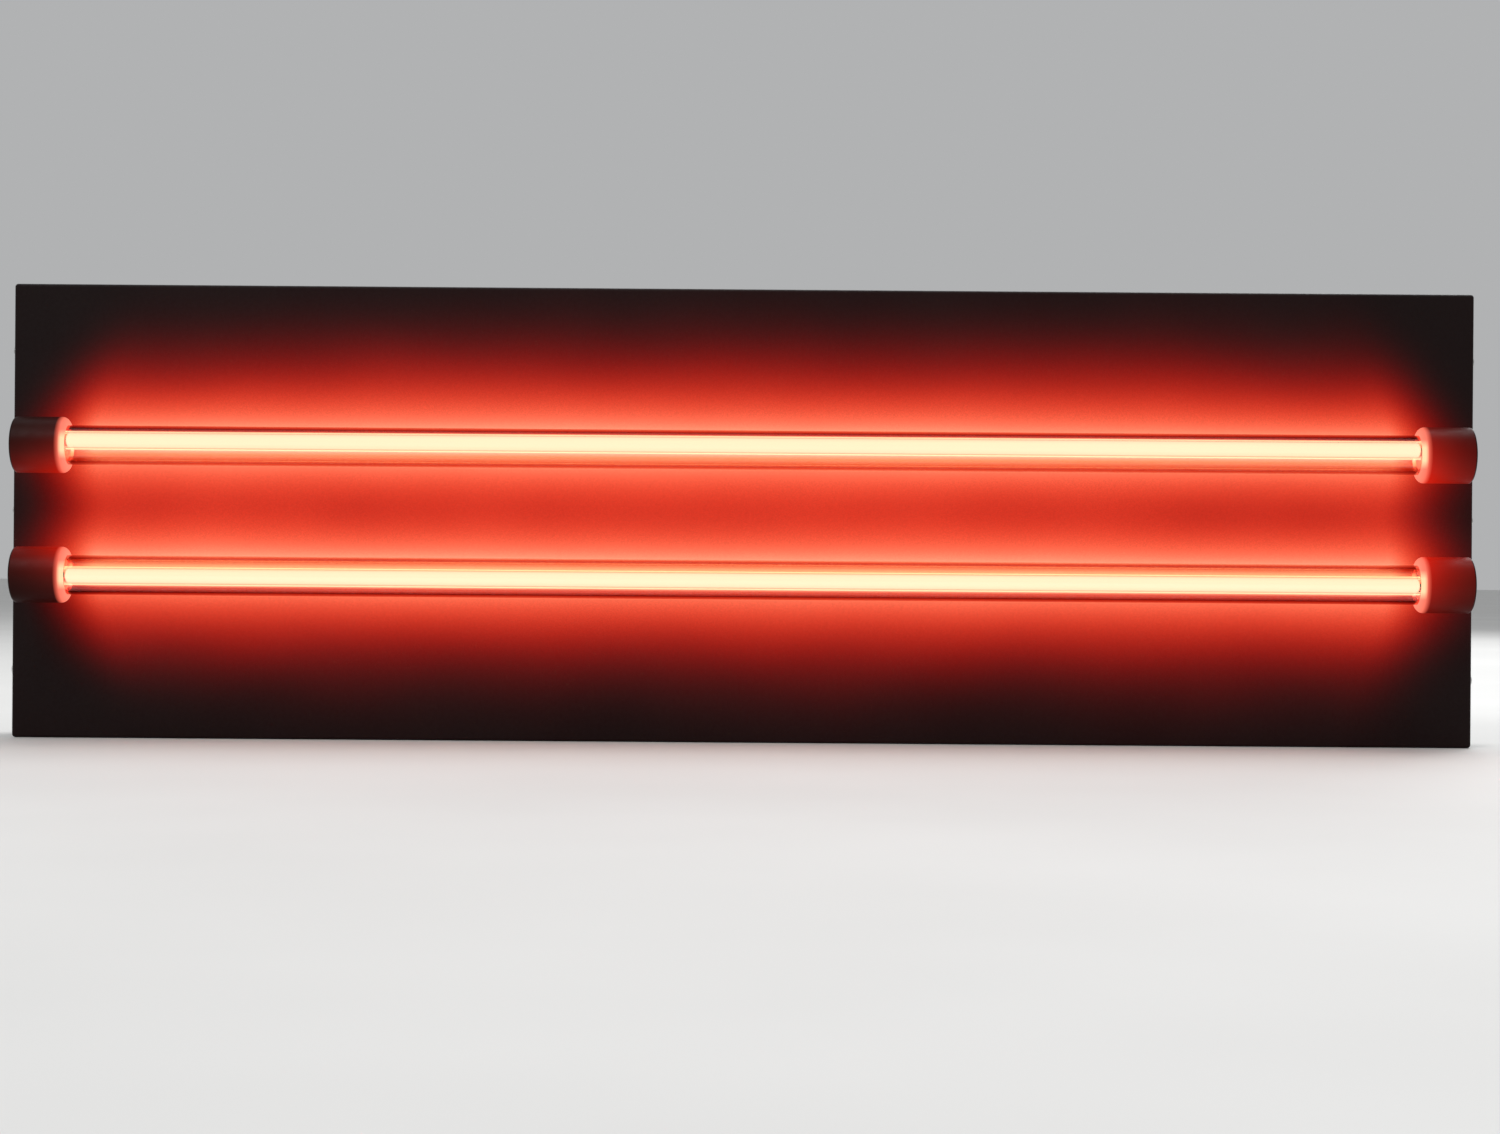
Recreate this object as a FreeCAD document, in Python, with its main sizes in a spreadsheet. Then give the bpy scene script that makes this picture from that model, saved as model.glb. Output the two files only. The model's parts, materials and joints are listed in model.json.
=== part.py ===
import FreeCAD, Part
import math
import os
import re
import Sketcher
from FreeCAD import Placement, Rotation, Vector

# Wall sign with two horizontal neon tubes in front of a folded sheet-metal case, in millimetres.
# +X is right, +Z is up and the sign faces -Y. The origin is the centre of the back, where it meets the wall.
#
# Each tube runs inside a clear sleeve. Both sleeve ends sit in porcelain sockets on the front panel, and
# a sprung contact in every socket meets the brass cap of the tube. The case holds the electronic supply,
# the high-voltage leads, and the mains wiring with its rocker switch and fuse.

DIMENSIONS = (
    # folded case: a shallow tray on the wall, closed by a front panel with returns
    ("panel_width", 914.0),
    ("panel_height", 284.0),
    ("panel_front", 57.0),
    ("panel_return", 15.0),
    ("sheet", 1.2),
    ("bend_radius", 2.0),
    ("panel_gap", 0.5),
    ("edge_gap", 0.2),
    # four wall fixings through the tray
    ("wall_pitch_x", 560.0),
    ("wall_pitch_z", 200.0),
    ("wall_hole", 5.5),
    # panel screws: three down each end of the case
    ("screw_inset", 8.0),
    ("screw_pitch", 100.0),
    ("screw_thread", 4.0),
    ("screw_head", 7.6),
    ("screw_head_height", 1.6),
    ("head_shoulder", 0.5),
    ("head_crown", 0.7),
    ("screw_clearance", 0.5),
    ("screw_length", 9.0),
    ("hex_socket", 2.5),
    ("hex_depth", 1.2),
    ("rivet_nut_body", 6.0),
    ("rivet_nut_flange", 8.0),
    ("rivet_nut_length", 8.0),
    ("fit", 0.05),
    # vent slots over and under the supply
    ("vent_count", 9.0),
    ("vent_pitch", 12.0),
    ("vent_width", 3.0),
    ("vent_length", 22.0),
    ("vent_centre", 22.0),
    # tubes and sleeves
    ("tube_pitch", 80.0),
    ("tube_standoff", 25.0),
    ("mouth_x", 415.5),
    ("sleeve_diameter", 24.4),
    ("sleeve_wall", 2.2),
    ("sleeve_entry", 9.4),
    ("neon_diameter", 12.0),
    ("neon_wall", 1.2),
    ("neon_entry", 15.5),
    ("upper_offset", 3.0),
    ("lower_offset", -0.5),
    # electrodes, caps, bushes and gaskets at the tube ends
    ("electrode_diameter", 7.6),
    ("electrode_wall", 0.5),
    ("electrode_length", 10.0),
    ("lead_in", 1.0),
    ("cap_diameter", 13.4),
    ("cap_length", 7.0),
    ("cap_wall", 1.0),
    ("bush_start", 1.5),
    ("bush_length", 6.0),
    ("gasket_thickness", 0.5),
    ("gasket_margin", 0.6),
    # porcelain sockets
    ("socket_diameter", 34.6),
    ("socket_length", 33.0),
    ("seat_diameter", 24.8),
    ("seat_depth", 10.0),
    ("chamber_diameter", 19.8),
    ("plug_diameter", 22.0),
    ("plug_depth", 5.5),
    ("plug_slot", 2.0),
    ("plug_slot_depth", 1.6),
    ("slot_share", 0.36),
    ("lip_radius", 4.2),
    ("rear_radius", 1.5),
    ("foot_centre", 17.5),
    ("foot_length", 26.0),
    ("foot_width", 24.0),
    ("foot_radius", 5.0),
    ("foot_gasket", 1.5),
    ("passage", 8.0),
    ("socket_screw_pitch", 17.0),
    ("socket_screw", 3.4),
    ("socket_screw_grip", 7.0),
    ("socket_screw_head", 6.8),
    ("socket_screw_head_height", 2.4),
    # sprung contacts
    ("contact_flange", 19.0),
    ("contact_flange_thickness", 1.0),
    ("contact_barrel", 7.0),
    ("contact_bore", 4.2),
    ("contact_barrel_start", 21.0),
    ("plunger_head", 10.0),
    ("plunger_head_thickness", 1.5),
    ("plunger_chamfer", 0.6),
    ("plunger_stem", 4.0),
    ("plunger_stem_end", 24.6),
    ("spring_mean", 8.4),
    ("spring_wire", 0.8),
    ("spring_turns", 4.0),
    # electronic high-voltage supply on the back of the tray
    ("supply_length", 170.0),
    ("supply_height", 70.0),
    ("supply_depth", 34.0),
    ("supply_wall", 1.5),
    ("supply_ear", 14.0),
    ("supply_lid_lip", 2.0),
    ("stud_pitch_z", 50.0),
    ("stud_head", 6.5),
    ("stud_length", 9.0),
    ("earth_stud_length", 12.0),
    ("block_stud_reach", 5.0),
    ("nut_flats", 7.0),
    ("nut_height", 3.2),
    ("board_length", 152.0),
    ("board_height", 58.0),
    ("board_thickness", 1.6),
    ("board_inset", 5.0),
    ("spacer_height", 5.0),
    ("spacer_diameter", 6.0),
    ("spacer_tip", 1.5),
    ("core_x", -34.0),
    ("core_width", 40.0),
    ("core_height", 36.0),
    ("core_depth", 12.0),
    ("core_leg", 6.0),
    ("core_centre_leg", 10.0),
    ("core_lift", 6.0),
    ("winding_wall", 4.0),
    ("winding_height", 22.0),
    ("winding_round", 3.0),
    ("capacitor_diameter", 16.0),
    ("capacitor_height", 21.0),
    ("capacitor_groove", 3.0),
    ("capacitor_crimp", 0.6),
    ("capacitor_rim", 0.8),
    ("capacitor_x", 30.0),
    ("capacitor_z", 14.0),
    ("bushing_z", 15.0),
    ("bushing_diameter", 11.0),
    ("bushing_rib", 15.0),
    ("bushing_length", 26.0),
    ("bushing_inside", 2.0),
    ("bushing_taper", 1.0),
    ("bushing_y", 22.0),
    # wiring
    ("lead_diameter", 5.5),
    ("lead_conductor", 1.2),
    ("lead_depth", 22.0),
    ("lead_bend", 11.0),
    ("lead_stop", 1.0),
    ("lead_straight", 20.0),
    ("lead_spread", 25.0),
    ("tail_inset", 1.6),
    ("tail_start", 4.0),
    ("wire_diameter", 2.4),
    ("wire_bend", 5.0),
    ("wire_slack", 12.0),
    ("supply_wire_entry", 8.0),
    ("supply_wire_reach", 45.0),
    ("clip_width", 8.0),
    ("clip_wall", 1.6),
    ("clip_foot_length", 12.8),
    ("clip_foot_width", 14.4),
    ("clip_pitch", 100.0),
    ("clip_x", 190.0),
    # terminal block, earth stud and cable entry
    ("block_x", 350.0),
    ("block_z", -92.0),
    ("block_length", 44.0),
    ("block_width", 18.0),
    ("block_height", 16.0),
    ("block_ear", 4.0),
    ("block_edge", 1.0),
    ("pole_pitch", 11.0),
    ("pole_bore", 4.0),
    ("pole_screw", 4.2),
    ("pole_height", 7.2),
    ("pole_depth", 4.0),
    ("pole_screw_sunk", 2.5),
    ("pole_slot", 0.8),
    ("pole_slot_depth", 1.0),
    ("ring_diameter", 9.0),
    ("ring_thickness", 1.0),
    ("ring_tab", 4.0),
    ("ring_tab_width", 3.4),
    ("supply_wire_z", 6.0),
    ("earth_x", 320.0),
    ("earth_z", -60.0),
    ("entry_x", 300.0),
    ("entry_z", -100.0),
    ("entry_hole", 12.0),
    ("entry_bore", 8.0),
    ("entry_flange", 17.0),
    ("entry_flange_height", 2.5),
    ("entry_lip", 1.0),
    # rocker switch in the right-hand wall
    ("switch_z", -108.0),
    ("service_y", 21.0),
    ("bezel_length", 21.0),
    ("bezel_width", 15.0),
    ("bezel_height", 1.8),
    ("bezel_round", 1.1),
    ("switch_length", 19.0),
    ("switch_width", 12.8),
    ("switch_depth", 17.0),
    ("rocker_length", 16.4),
    ("rocker_width", 8.8),
    ("rocker_well", 10.0),
    ("rocker_crest", 2.9),
    ("rocker_dip", 1.3),
    ("rocker_skirt", 1.8),
    ("rocker_keel", 5.8),
    ("rocker_gap", 0.2),
    ("rocker_end_gap", 0.8),
    ("rocker_pin", 2.4),
    ("pin_reach", 0.9),
    ("pivot_depth", 1.2),
    ("rocker_tilt", 9.0),
    ("blade_width", 4.8),
    ("blade_thickness", 0.8),
    ("blade_length", 8.0),
    ("blade_pitch", 9.0),
    # pull-out fuse holder above the switch
    ("fuse_z", -70.0),
    ("holder_flange", 16.0),
    ("holder_flange_height", 2.0),
    ("holder_edge", 0.8),
    ("holder_diameter", 12.0),
    ("holder_depth", 34.0),
    ("side_terminal", 25.5),
    ("holder_bore", 8.4),
    ("holder_floor", 4.0),
    ("holder_nut", 17.0),
    ("holder_nut_height", 3.0),
    ("carrier_diameter", 8.2),
    ("carrier_length", 8.0),
    ("knob_diameter", 12.0),
    ("knob_height", 6.0),
    ("knob_edge", 1.0),
    ("knob_slot", 1.0),
    ("knob_slot_depth", 1.2),
    ("fuse_diameter", 5.0),
    ("fuse_length", 20.0),
    ("fuse_grip", 5.0),
    ("fuse_cap_step", 0.25),
)

# Places that follow from the dimensions, as distances towards -Y from the wall.
TUBE_DEPTH = "(panel_front + tube_standoff)"
PANEL_INSIDE = "(panel_front - sheet)"
TRAY_DEPTH = "(panel_front - sheet - edge_gap)"
TRAY_HALF_WIDTH = "(panel_width / 2 - sheet - panel_gap)"
TRAY_HALF_HEIGHT = "(panel_height / 2 - sheet - panel_gap)"
SUPPLY_FRONT = "(sheet + supply_depth)"
BOARD_FRONT = "(sheet + supply_wall + spacer_height + board_thickness)"
SPACER_X = "board_length / 2 - board_inset"
SPACER_Z = "board_height / 2 - board_inset"
SOCKET_X = "(mouth_x + foot_centre)"

# The four ends of the two tubes: name, side (+1 right) and level (+1 upper).
TUBE_ENDS = (
    ("upper_left", -1, 1),
    ("upper_right", 1, 1),
    ("lower_left", -1, -1),
    ("lower_right", 1, -1),
)

ALIASES = {alias for alias, _ in DIMENSIONS}
HALF_TURN = Rotation(Vector(0, 1, 0), 180)
EXACT = 1e-4
TOUCH = 0.1

doc = FreeCAD.newDocument("NeonSign")
sheet = doc.addObject("Spreadsheet::Sheet", "Dims")
for row, (alias, value) in enumerate(DIMENSIONS, 1):
    sheet.set(f"A{row}", alias.replace("_", " "))
    sheet.set(f"B{row}", str(value))
    sheet.setAlias(f"B{row}", alias)
doc.recompute()

parts = []


# ---------------------------------------------------------------- helpers


def dims(expression):
    """An expression in which each alias refers to its cell of the sheet."""
    return re.sub(
        r"[a-z_]+", lambda word: "Dims." + word[0] if word[0] in ALIASES else word[0], str(expression)
    )


def size(alias):
    """The value held in one cell of the sheet."""
    return float(sheet.get(alias))


def bind(thing, name, expression):
    thing.setExpression(name, dims(expression))


def new_body(label, x=0, y=0, z=0, turn=None):
    """An empty body whose own origin is at (x, y, z), turned by a rotation."""
    body = doc.addObject("PartDesign::Body", label)
    body.AllowCompound = True
    if turn:
        body.Placement = Placement(Vector(), turn)
    for axis, expression in (("x", x), ("y", y), ("z", z)):
        bind(body, "Placement.Base." + axis, expression)
    parts.append(body)
    return body


def new_sketch(body, name, role="XZ_Plane", across=0, up=0, out=0):
    """A sketch on one of the body's origin planes, moved across, up and out along the plane's normal.

    The XZ plane looks towards -Y, so on that plane out is a distance towards the front of the sign.
    """
    sketch = body.newObject("Sketcher::SketchObject", f"{body.Label}_{name}_sketch")
    plane = next(feature for feature in body.Origin.OriginFeatures if feature.Role == role)
    sketch.AttachmentSupport = [(plane, "")]
    sketch.MapMode = "FlatFace"
    for axis, expression in (("x", across), ("y", up), ("z", out)):
        bind(sketch, "AttachmentOffset.Base." + axis, expression)
    return sketch


def hold_point(sketch, geometry, point, at, x, y):
    """Dimensions one point of the sketch from the sketch's origin, bound to the sheet."""
    for kind, start, expression in (("DistanceX", at.x, x), ("DistanceY", at.y, y)):
        index = sketch.addConstraint(Sketcher.Constraint(kind, -1, 1, geometry, point, start))
        name = f"{kind}_{index}"
        sketch.renameConstraint(index, name)
        bind(sketch, "Constraints." + name, expression)


def add_outline(sketch, corners):
    """A closed outline of straight lines through corners, each given as two expressions."""
    count = len(corners)
    first = sketch.GeometryCount
    turns = [2 * math.pi * i / count for i in range(count)]
    starts = [Vector(math.cos(turn), math.sin(turn)) for turn in turns]
    for i in range(count):
        sketch.addGeometry(Part.LineSegment(starts[i], starts[(i + 1) % count]), False)
    for i in range(count):
        sketch.addConstraint(Sketcher.Constraint("Coincident", first + i, 2, first + (i + 1) % count, 1))
    for i, (x, y) in enumerate(corners):
        hold_point(sketch, first + i, 1, starts[i], x, y)


def add_rectangle(sketch, half_x, half_y, x=0, y=0):
    """A rectangle about (x, y) with the given half sizes."""
    left, right = f"{x} - ({half_x})", f"{x} + ({half_x})"
    low, high = f"{y} - ({half_y})", f"{y} + ({half_y})"
    add_outline(sketch, ((left, low), (right, low), (right, high), (left, high)))


def add_circle(sketch, diameter, x=0, y=0):
    circle = sketch.addGeometry(Part.Circle(Vector(0, 0, 0), Vector(0, 0, 1), 1.0), False)
    index = sketch.addConstraint(Sketcher.Constraint("Diameter", circle, 2.0))
    name = f"Diameter_{index}"
    sketch.renameConstraint(index, name)
    bind(sketch, "Constraints." + name, diameter)
    hold_point(sketch, circle, 3, Vector(), x, y)


def add_hexagon(sketch, flats):
    """A regular hexagon about the sketch's origin, given its size across flats."""
    corner = 1 / math.cos(math.pi / 6)
    corners = []
    for i in range(6):
        turn = math.pi * i / 3
        across, up = corner * math.cos(turn), corner * math.sin(turn)
        corners.append((f"{flats} / 2 * {across:.6f}", f"{flats} / 2 * {up:.6f}"))
    add_outline(sketch, corners)


def finish_feature(body, feature, cuts=False):
    """Makes the feature the body's tip and checks that it added or removed material."""
    before = body.Shape.Volume if body.Shape.Solids else 0.0
    body.Tip = feature
    doc.recompute()
    change = feature.Shape.Volume - before
    if cuts == (change >= 0) or abs(change) < EXACT:
        raise RuntimeError(f"{feature.Name} changed the volume by {change:.4f} mm3")
    return feature


def extrude(body, name, sketch, length, kind="Pad", back=False, both=False):
    """A pad or pocket of the sketch; back turns it round, both shares the length over the two sides."""
    feature = body.newObject("PartDesign::" + kind, f"{body.Label}_{name}")
    feature.Profile = (sketch, [""])
    feature.Reversed = back
    if both:
        feature.SideType = "Symmetric"
    bind(feature, "Length", length)
    return finish_feature(body, feature, cuts=kind == "Pocket")


def pad(body, name, sketch, length, **how):
    return extrude(body, name, sketch, length, "Pad", **how)


def pocket(body, name, sketch, length, **how):
    return extrude(body, name, sketch, length, "Pocket", **how)


def turn_profile(body, name, sketch, kind="Revolution", axis="H_Axis"):
    """A full turn of the sketch about one of its own axes."""
    feature = body.newObject("PartDesign::" + kind, f"{body.Label}_{name}")
    feature.Profile = (sketch, [""])
    feature.ReferenceAxis = (sketch, [axis])
    feature.Angle = 360
    return finish_feature(body, feature, cuts=kind == "Groove")


def repeat(body, features, steps, cuts=False):
    """Repeats features by rows ("row", sketch, axis, span, count) and mirrors ("mirror", plane role)."""
    multi = body.newObject("PartDesign::MultiTransform", f"{body.Label}_{features[0].Name}_set")
    multi.Originals = list(features)
    transformations = []
    for number, step in enumerate(steps):
        name = f"{multi.Name}_{number}"
        if step[0] == "row":
            _, sketch, axis, span, count = step
            row = body.newObject("PartDesign::LinearPattern", name)
            row.Direction = (sketch, [axis])
            bind(row, "Length", span)
            bind(row, "Occurrences", count)
            transformations.append(row)
        else:
            mirror = body.newObject("PartDesign::Mirrored", name)
            plane = next(f for f in body.Origin.OriginFeatures if f.Role == step[1])
            mirror.MirrorPlane = (plane, [""])
            transformations.append(mirror)
    multi.Transformations = transformations
    return finish_feature(body, multi, cuts=cuts)


LEFT_RIGHT = ("mirror", "YZ_Plane")
UP_DOWN = ("mirror", "XY_Plane")


def round_edges(body, name, radius, wanted):
    """A fillet on every edge of the body for which wanted(edge) is true."""
    base = body.Tip
    names = [f"Edge{i}" for i, edge in enumerate(base.Shape.Edges, 1) if wanted(edge)]
    if not names:
        raise RuntimeError(f"{body.Label}_{name} found no edge")
    fillet = body.newObject("PartDesign::Fillet", f"{body.Label}_{name}")
    fillet.Base = (base, names)
    bind(fillet, "Radius", radius)
    body.Tip = fillet
    doc.recompute()
    return fillet


def is_circle(edge, diameter, x=None):
    """True for a full or part circle of this diameter, centred at x if x is given."""
    if edge.Curve.TypeId != "Part::GeomCircle" or abs(edge.Curve.Radius * 2 - diameter) > EXACT:
        return False
    return x is None or abs(edge.Curve.Center.x - x) < EXACT


def runs_along(edge, direction):
    """True for a straight edge along a direction."""
    if edge.Curve.TypeId != "Part::GeomLine":
        return False
    return abs(abs(edge.Curve.Direction.dot(direction)) - 1) < EXACT


def is_inside_walls(edge, half_width, half_height):
    """True for an edge that reaches no farther out than the inside of four walls."""
    box = edge.BoundBox
    reach_x = max(abs(box.XMin), box.XMax)
    reach_z = max(abs(box.ZMin), box.ZMax)
    return reach_x < half_width + TOUCH and reach_z < half_height + TOUCH


def end_body(label, side, level):
    """A body at one tube end: its X runs outwards from the socket's mouth along the sleeve's axis."""
    turn = HALF_TURN if side < 0 else None
    return new_body(label, f"{side} * mouth_x", f"-{TUBE_DEPTH}", f"{level} * tube_pitch / 2", turn)


# ---------------------------------------------------------------- case


def make_back_tray():
    """The folded tray that hangs on the wall and holds everything inside the case."""
    tray = new_body("back_tray")
    outer = new_sketch(tray, "outer")
    add_rectangle(outer, TRAY_HALF_WIDTH, TRAY_HALF_HEIGHT)
    pad(tray, "block", outer, TRAY_DEPTH)
    front = -(size("panel_front") - size("sheet") - size("edge_gap"))
    round_edges(tray, "outer_bends", "bend_radius", lambda edge: edge.BoundBox.YMax > front + TOUCH)

    inner = new_sketch(tray, "inner", out="sheet")
    add_rectangle(inner, TRAY_HALF_WIDTH + " - sheet", TRAY_HALF_HEIGHT + " - sheet")
    pocket(tray, "hollow", inner, TRAY_DEPTH, back=True)
    walls = 2 * size("sheet") + size("panel_gap")
    inside_x = size("panel_width") / 2 - walls
    inside_z = size("panel_height") / 2 - walls

    def is_inside_bend(edge):
        depth = edge.BoundBox.YMax
        return is_inside_walls(edge, inside_x, inside_z) and front + TOUCH < depth < TOUCH - size("sheet")

    round_edges(tray, "inner_bends", "bend_radius - sheet", is_inside_bend)

    wall_hole = new_sketch(tray, "wall_hole")
    add_circle(wall_hole, "wall_hole", "wall_pitch_x / 2", "wall_pitch_z / 2")
    wall_hole_cut = pocket(tray, "wall_hole", wall_hole, "2 * sheet", both=True)
    repeat(tray, [wall_hole_cut], [LEFT_RIGHT, UP_DOWN], cuts=True)

    stud_hole = new_sketch(tray, "stud_hole")
    add_circle(stud_hole, "stud_head", "(supply_length + supply_ear) / 2", "stud_pitch_z / 2")
    stud_hole_cut = pocket(tray, "stud_hole", stud_hole, "2 * sheet", both=True)
    repeat(tray, [stud_hole_cut], [LEFT_RIGHT, UP_DOWN], cuts=True)

    service = new_sketch(tray, "service_holes")
    add_circle(service, "entry_hole", "entry_x", "entry_z")
    add_circle(service, "stud_head", "earth_x", "earth_z")
    for side in (-1, 1):
        add_circle(service, "stud_head", f"block_x + {side} * (block_length / 2 - block_ear)", "block_z")
    pocket(tray, "service_holes", service, "2 * sheet", both=True)

    nut_hole = new_sketch(tray, "nut_hole", "YZ_Plane")
    add_circle(nut_hole, "rivet_nut_body", "-(panel_front - screw_inset)", "-screw_pitch")
    nut_cut = pocket(tray, "nut_hole", nut_hole, "panel_width", both=True)
    repeat(tray, [nut_cut], [("row", nut_hole, "V_Axis", "2 * screw_pitch", "3")], cuts=True)

    vent = new_sketch(tray, "vent", "XY_Plane")
    row = "(vent_count - 1) * vent_pitch"
    add_rectangle(vent, "vent_width / 2", "vent_length / 2", f"-{row} / 2", "-vent_centre")
    vent_cut = pocket(tray, "vent", vent, "panel_height", both=True)
    repeat(tray, [vent_cut], [("row", vent, "H_Axis", row, "vent_count")], cuts=True)

    cutouts = new_sketch(tray, "cutouts", "YZ_Plane", out=TRAY_HALF_WIDTH)
    add_rectangle(cutouts, "switch_width / 2 + fit", "switch_length / 2 + fit", "-service_y", "switch_z")
    add_circle(cutouts, "holder_diameter + 2 * fit", "-service_y", "fuse_z")
    pocket(tray, "cutouts", cutouts, "2 * sheet")


def make_front_panel():
    """The plain front panel; its returns slide over the tray and its face carries the sockets."""
    panel = new_body("front_panel")
    outer = new_sketch(panel, "outer", out="panel_front - panel_return")
    add_rectangle(outer, "panel_width / 2", "panel_height / 2")
    pad(panel, "block", outer, "panel_return")
    rear = -(size("panel_front") - size("panel_return"))
    round_edges(panel, "outer_bends", "bend_radius", lambda edge: edge.BoundBox.YMin < rear - TOUCH)

    inner = new_sketch(panel, "inner", out="panel_front - panel_return")
    add_rectangle(inner, "panel_width / 2 - sheet", "panel_height / 2 - sheet")
    pocket(panel, "hollow", inner, "panel_return - sheet", back=True)
    inside_x = size("panel_width") / 2 - size("sheet")
    inside_z = size("panel_height") / 2 - size("sheet")
    inside_y = size("sheet") - size("panel_front")

    def is_inside_bend(edge):
        depth = edge.BoundBox.YMin
        return is_inside_walls(edge, inside_x, inside_z) and inside_y - TOUCH < depth < rear - TOUCH

    round_edges(panel, "inner_bends", "bend_radius - sheet", is_inside_bend)

    socket_holes = new_sketch(panel, "socket_holes", out=PANEL_INSIDE)
    add_circle(socket_holes, "passage", SOCKET_X, "tube_pitch / 2")
    for side in (-1, 1):
        x = f"{SOCKET_X} + {side} * socket_screw_pitch / 2"
        add_circle(socket_holes, "socket_screw + screw_clearance", x, "tube_pitch / 2")
    socket_cut = pocket(panel, "socket_holes", socket_holes, "2 * sheet", back=True)
    repeat(panel, [socket_cut], [LEFT_RIGHT, UP_DOWN], cuts=True)

    screw_hole = new_sketch(panel, "screw_hole", "YZ_Plane")
    add_circle(screw_hole, "screw_thread + screw_clearance", "-(panel_front - screw_inset)", "-screw_pitch")
    screw_cut = pocket(panel, "screw_hole", screw_hole, "panel_width + sheet", both=True)
    repeat(panel, [screw_cut], [("row", screw_hole, "V_Axis", "2 * screw_pitch", "3")], cuts=True)


def make_panel_screws():
    """Low-head M4 screws through the panel's end returns."""
    screws = new_body("panel_screws", y="-(panel_front - screw_inset)", z="-screw_pitch")
    profile = new_sketch(screws, "profile")
    head_face = "panel_width / 2"
    add_outline(
        profile,
        (
            (head_face + " - screw_length", 0),
            (head_face + " - screw_length", "screw_thread / 2 - fit"),
            (head_face, "screw_thread / 2 - fit"),
            (head_face, "screw_head / 2"),
            (head_face + " + screw_head_height * head_shoulder", "screw_head / 2"),
            (head_face + " + screw_head_height", "screw_head / 2 * head_crown"),
            (head_face + " + screw_head_height", 0),
        ),
    )
    screw = turn_profile(screws, "screw", profile)
    recess = new_sketch(screws, "recess", "YZ_Plane", out=head_face + " + screw_head_height")
    add_hexagon(recess, "hex_socket")
    socket_cut = pocket(screws, "recess", recess, "hex_depth")
    repeat(screws, [screw, socket_cut], [("row", profile, "V_Axis", "2 * screw_pitch", "3"), LEFT_RIGHT])


def make_rivet_nuts():
    """Threaded rivet nuts in the tray's end walls, their flanges in the gap under the returns."""
    nuts = new_body("rivet_nuts", y="-(panel_front - screw_inset)", z="-screw_pitch")
    profile = new_sketch(nuts, "profile")
    wall = TRAY_HALF_WIDTH
    add_outline(
        profile,
        (
            (f"{wall} - rivet_nut_length", "screw_thread / 2 + fit"),
            (f"{wall} - rivet_nut_length", "rivet_nut_body / 2 - fit"),
            (wall, "rivet_nut_body / 2 - fit"),
            (wall, "rivet_nut_flange / 2"),
            (f"{wall} + panel_gap - 2 * fit", "rivet_nut_flange / 2"),
            (f"{wall} + panel_gap - 2 * fit", "screw_thread / 2 + fit"),
        ),
    )
    nut = turn_profile(nuts, "nut", profile)
    repeat(nuts, [nut], [("row", profile, "V_Axis", "2 * screw_pitch", "3"), LEFT_RIGHT])


# ---------------------------------------------------------------- tubes


def make_ring_part(label, x, z, start, end, inner, outer, offset=0, mirrored=True):
    """A plain ring about an X axis, from start to end, mirrored to the other end of the tube."""
    ring = new_body(label, x, f"-{TUBE_DEPTH}", z)
    outside = new_sketch(ring, "outside", "YZ_Plane", out=start)
    add_circle(outside, outer)
    add_circle(outside, inner, 0, offset)
    band = pad(ring, "band", outside, f"({end}) - ({start})")
    if mirrored:
        repeat(ring, [band], [LEFT_RIGHT])


def make_tube(name, level, offset):
    """One neon tube with its sleeve, electrodes, caps and bushes.

    The offset is the tube's height over the sleeve's axis.
    """
    sleeve_z = f"{level} * tube_pitch / 2"
    tube_z = f"{sleeve_z} + {offset}"
    sleeve_end = "mouth_x + sleeve_entry"
    make_ring_part(
        f"{name}_sleeve", 0, sleeve_z, f"-({sleeve_end})", sleeve_end,
        "sleeve_diameter - 2 * sleeve_wall", "sleeve_diameter", mirrored=False,
    )

    tube = new_body(f"{name}_neon_tube", 0, f"-{TUBE_DEPTH}", tube_z)
    end = "(mouth_x + neon_entry)"
    half = "neon_diameter / 2"
    section = new_sketch(tube, "section")
    add_outline(
        section,
        (
            (f"-{end}", "lead_in / 2 + fit"),
            (f"-{end}", half),
            (end, half),
            (end, "lead_in / 2 + fit"),
            (f"{end} - neon_wall", "lead_in / 2 + fit"),
            (f"{end} - neon_wall", f"{half} - neon_wall"),
            (f"-{end} + neon_wall", f"{half} - neon_wall"),
            (f"-{end} + neon_wall", "lead_in / 2 + fit"),
        ),
    )
    turn_profile(tube, "glass", section)

    electrodes = new_body(f"{name}_electrodes", 0, f"-{TUBE_DEPTH}", tube_z)
    shell = new_sketch(electrodes, "shell")
    back = f"{end} - 2 * neon_wall"
    add_outline(
        shell,
        (
            (f"{back} - electrode_length", "electrode_diameter / 2 - electrode_wall"),
            (f"{back} - electrode_length", "electrode_diameter / 2"),
            (back, "electrode_diameter / 2"),
            (back, "lead_in / 2"),
            (f"{end} + fit", "lead_in / 2"),
            (f"{end} + fit", 0),
            (f"{back} - electrode_wall", 0),
            (f"{back} - electrode_wall", "electrode_diameter / 2 - electrode_wall"),
        ),
    )
    cup = turn_profile(electrodes, "cup", shell)
    repeat(electrodes, [cup], [LEFT_RIGHT])

    caps = new_body(f"{name}_tube_caps", 0, f"-{TUBE_DEPTH}", tube_z)
    cup_section = new_sketch(caps, "section")
    tip = f"{end} + 2 * fit + cap_wall"
    add_outline(
        cup_section,
        (
            (f"{tip} - cap_length", f"{half} + fit"),
            (f"{tip} - cap_length", "cap_diameter / 2"),
            (f"{tip} - cap_wall", "cap_diameter / 2"),
            (tip, "cap_diameter / 2 - cap_wall"),
            (tip, 0),
            (f"{tip} - cap_wall", 0),
            (f"{tip} - cap_wall", f"{half} + fit"),
        ),
    )
    cap = turn_profile(caps, "cap", cup_section)
    repeat(caps, [cap], [LEFT_RIGHT])

    make_ring_part(
        f"{name}_tube_bushes", 0, sleeve_z, "mouth_x + bush_start", "mouth_x + bush_start + bush_length",
        "neon_diameter + 2 * fit", "sleeve_diameter - 2 * sleeve_wall - 2 * fit", offset,
    )


# ---------------------------------------------------------------- sockets


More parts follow.
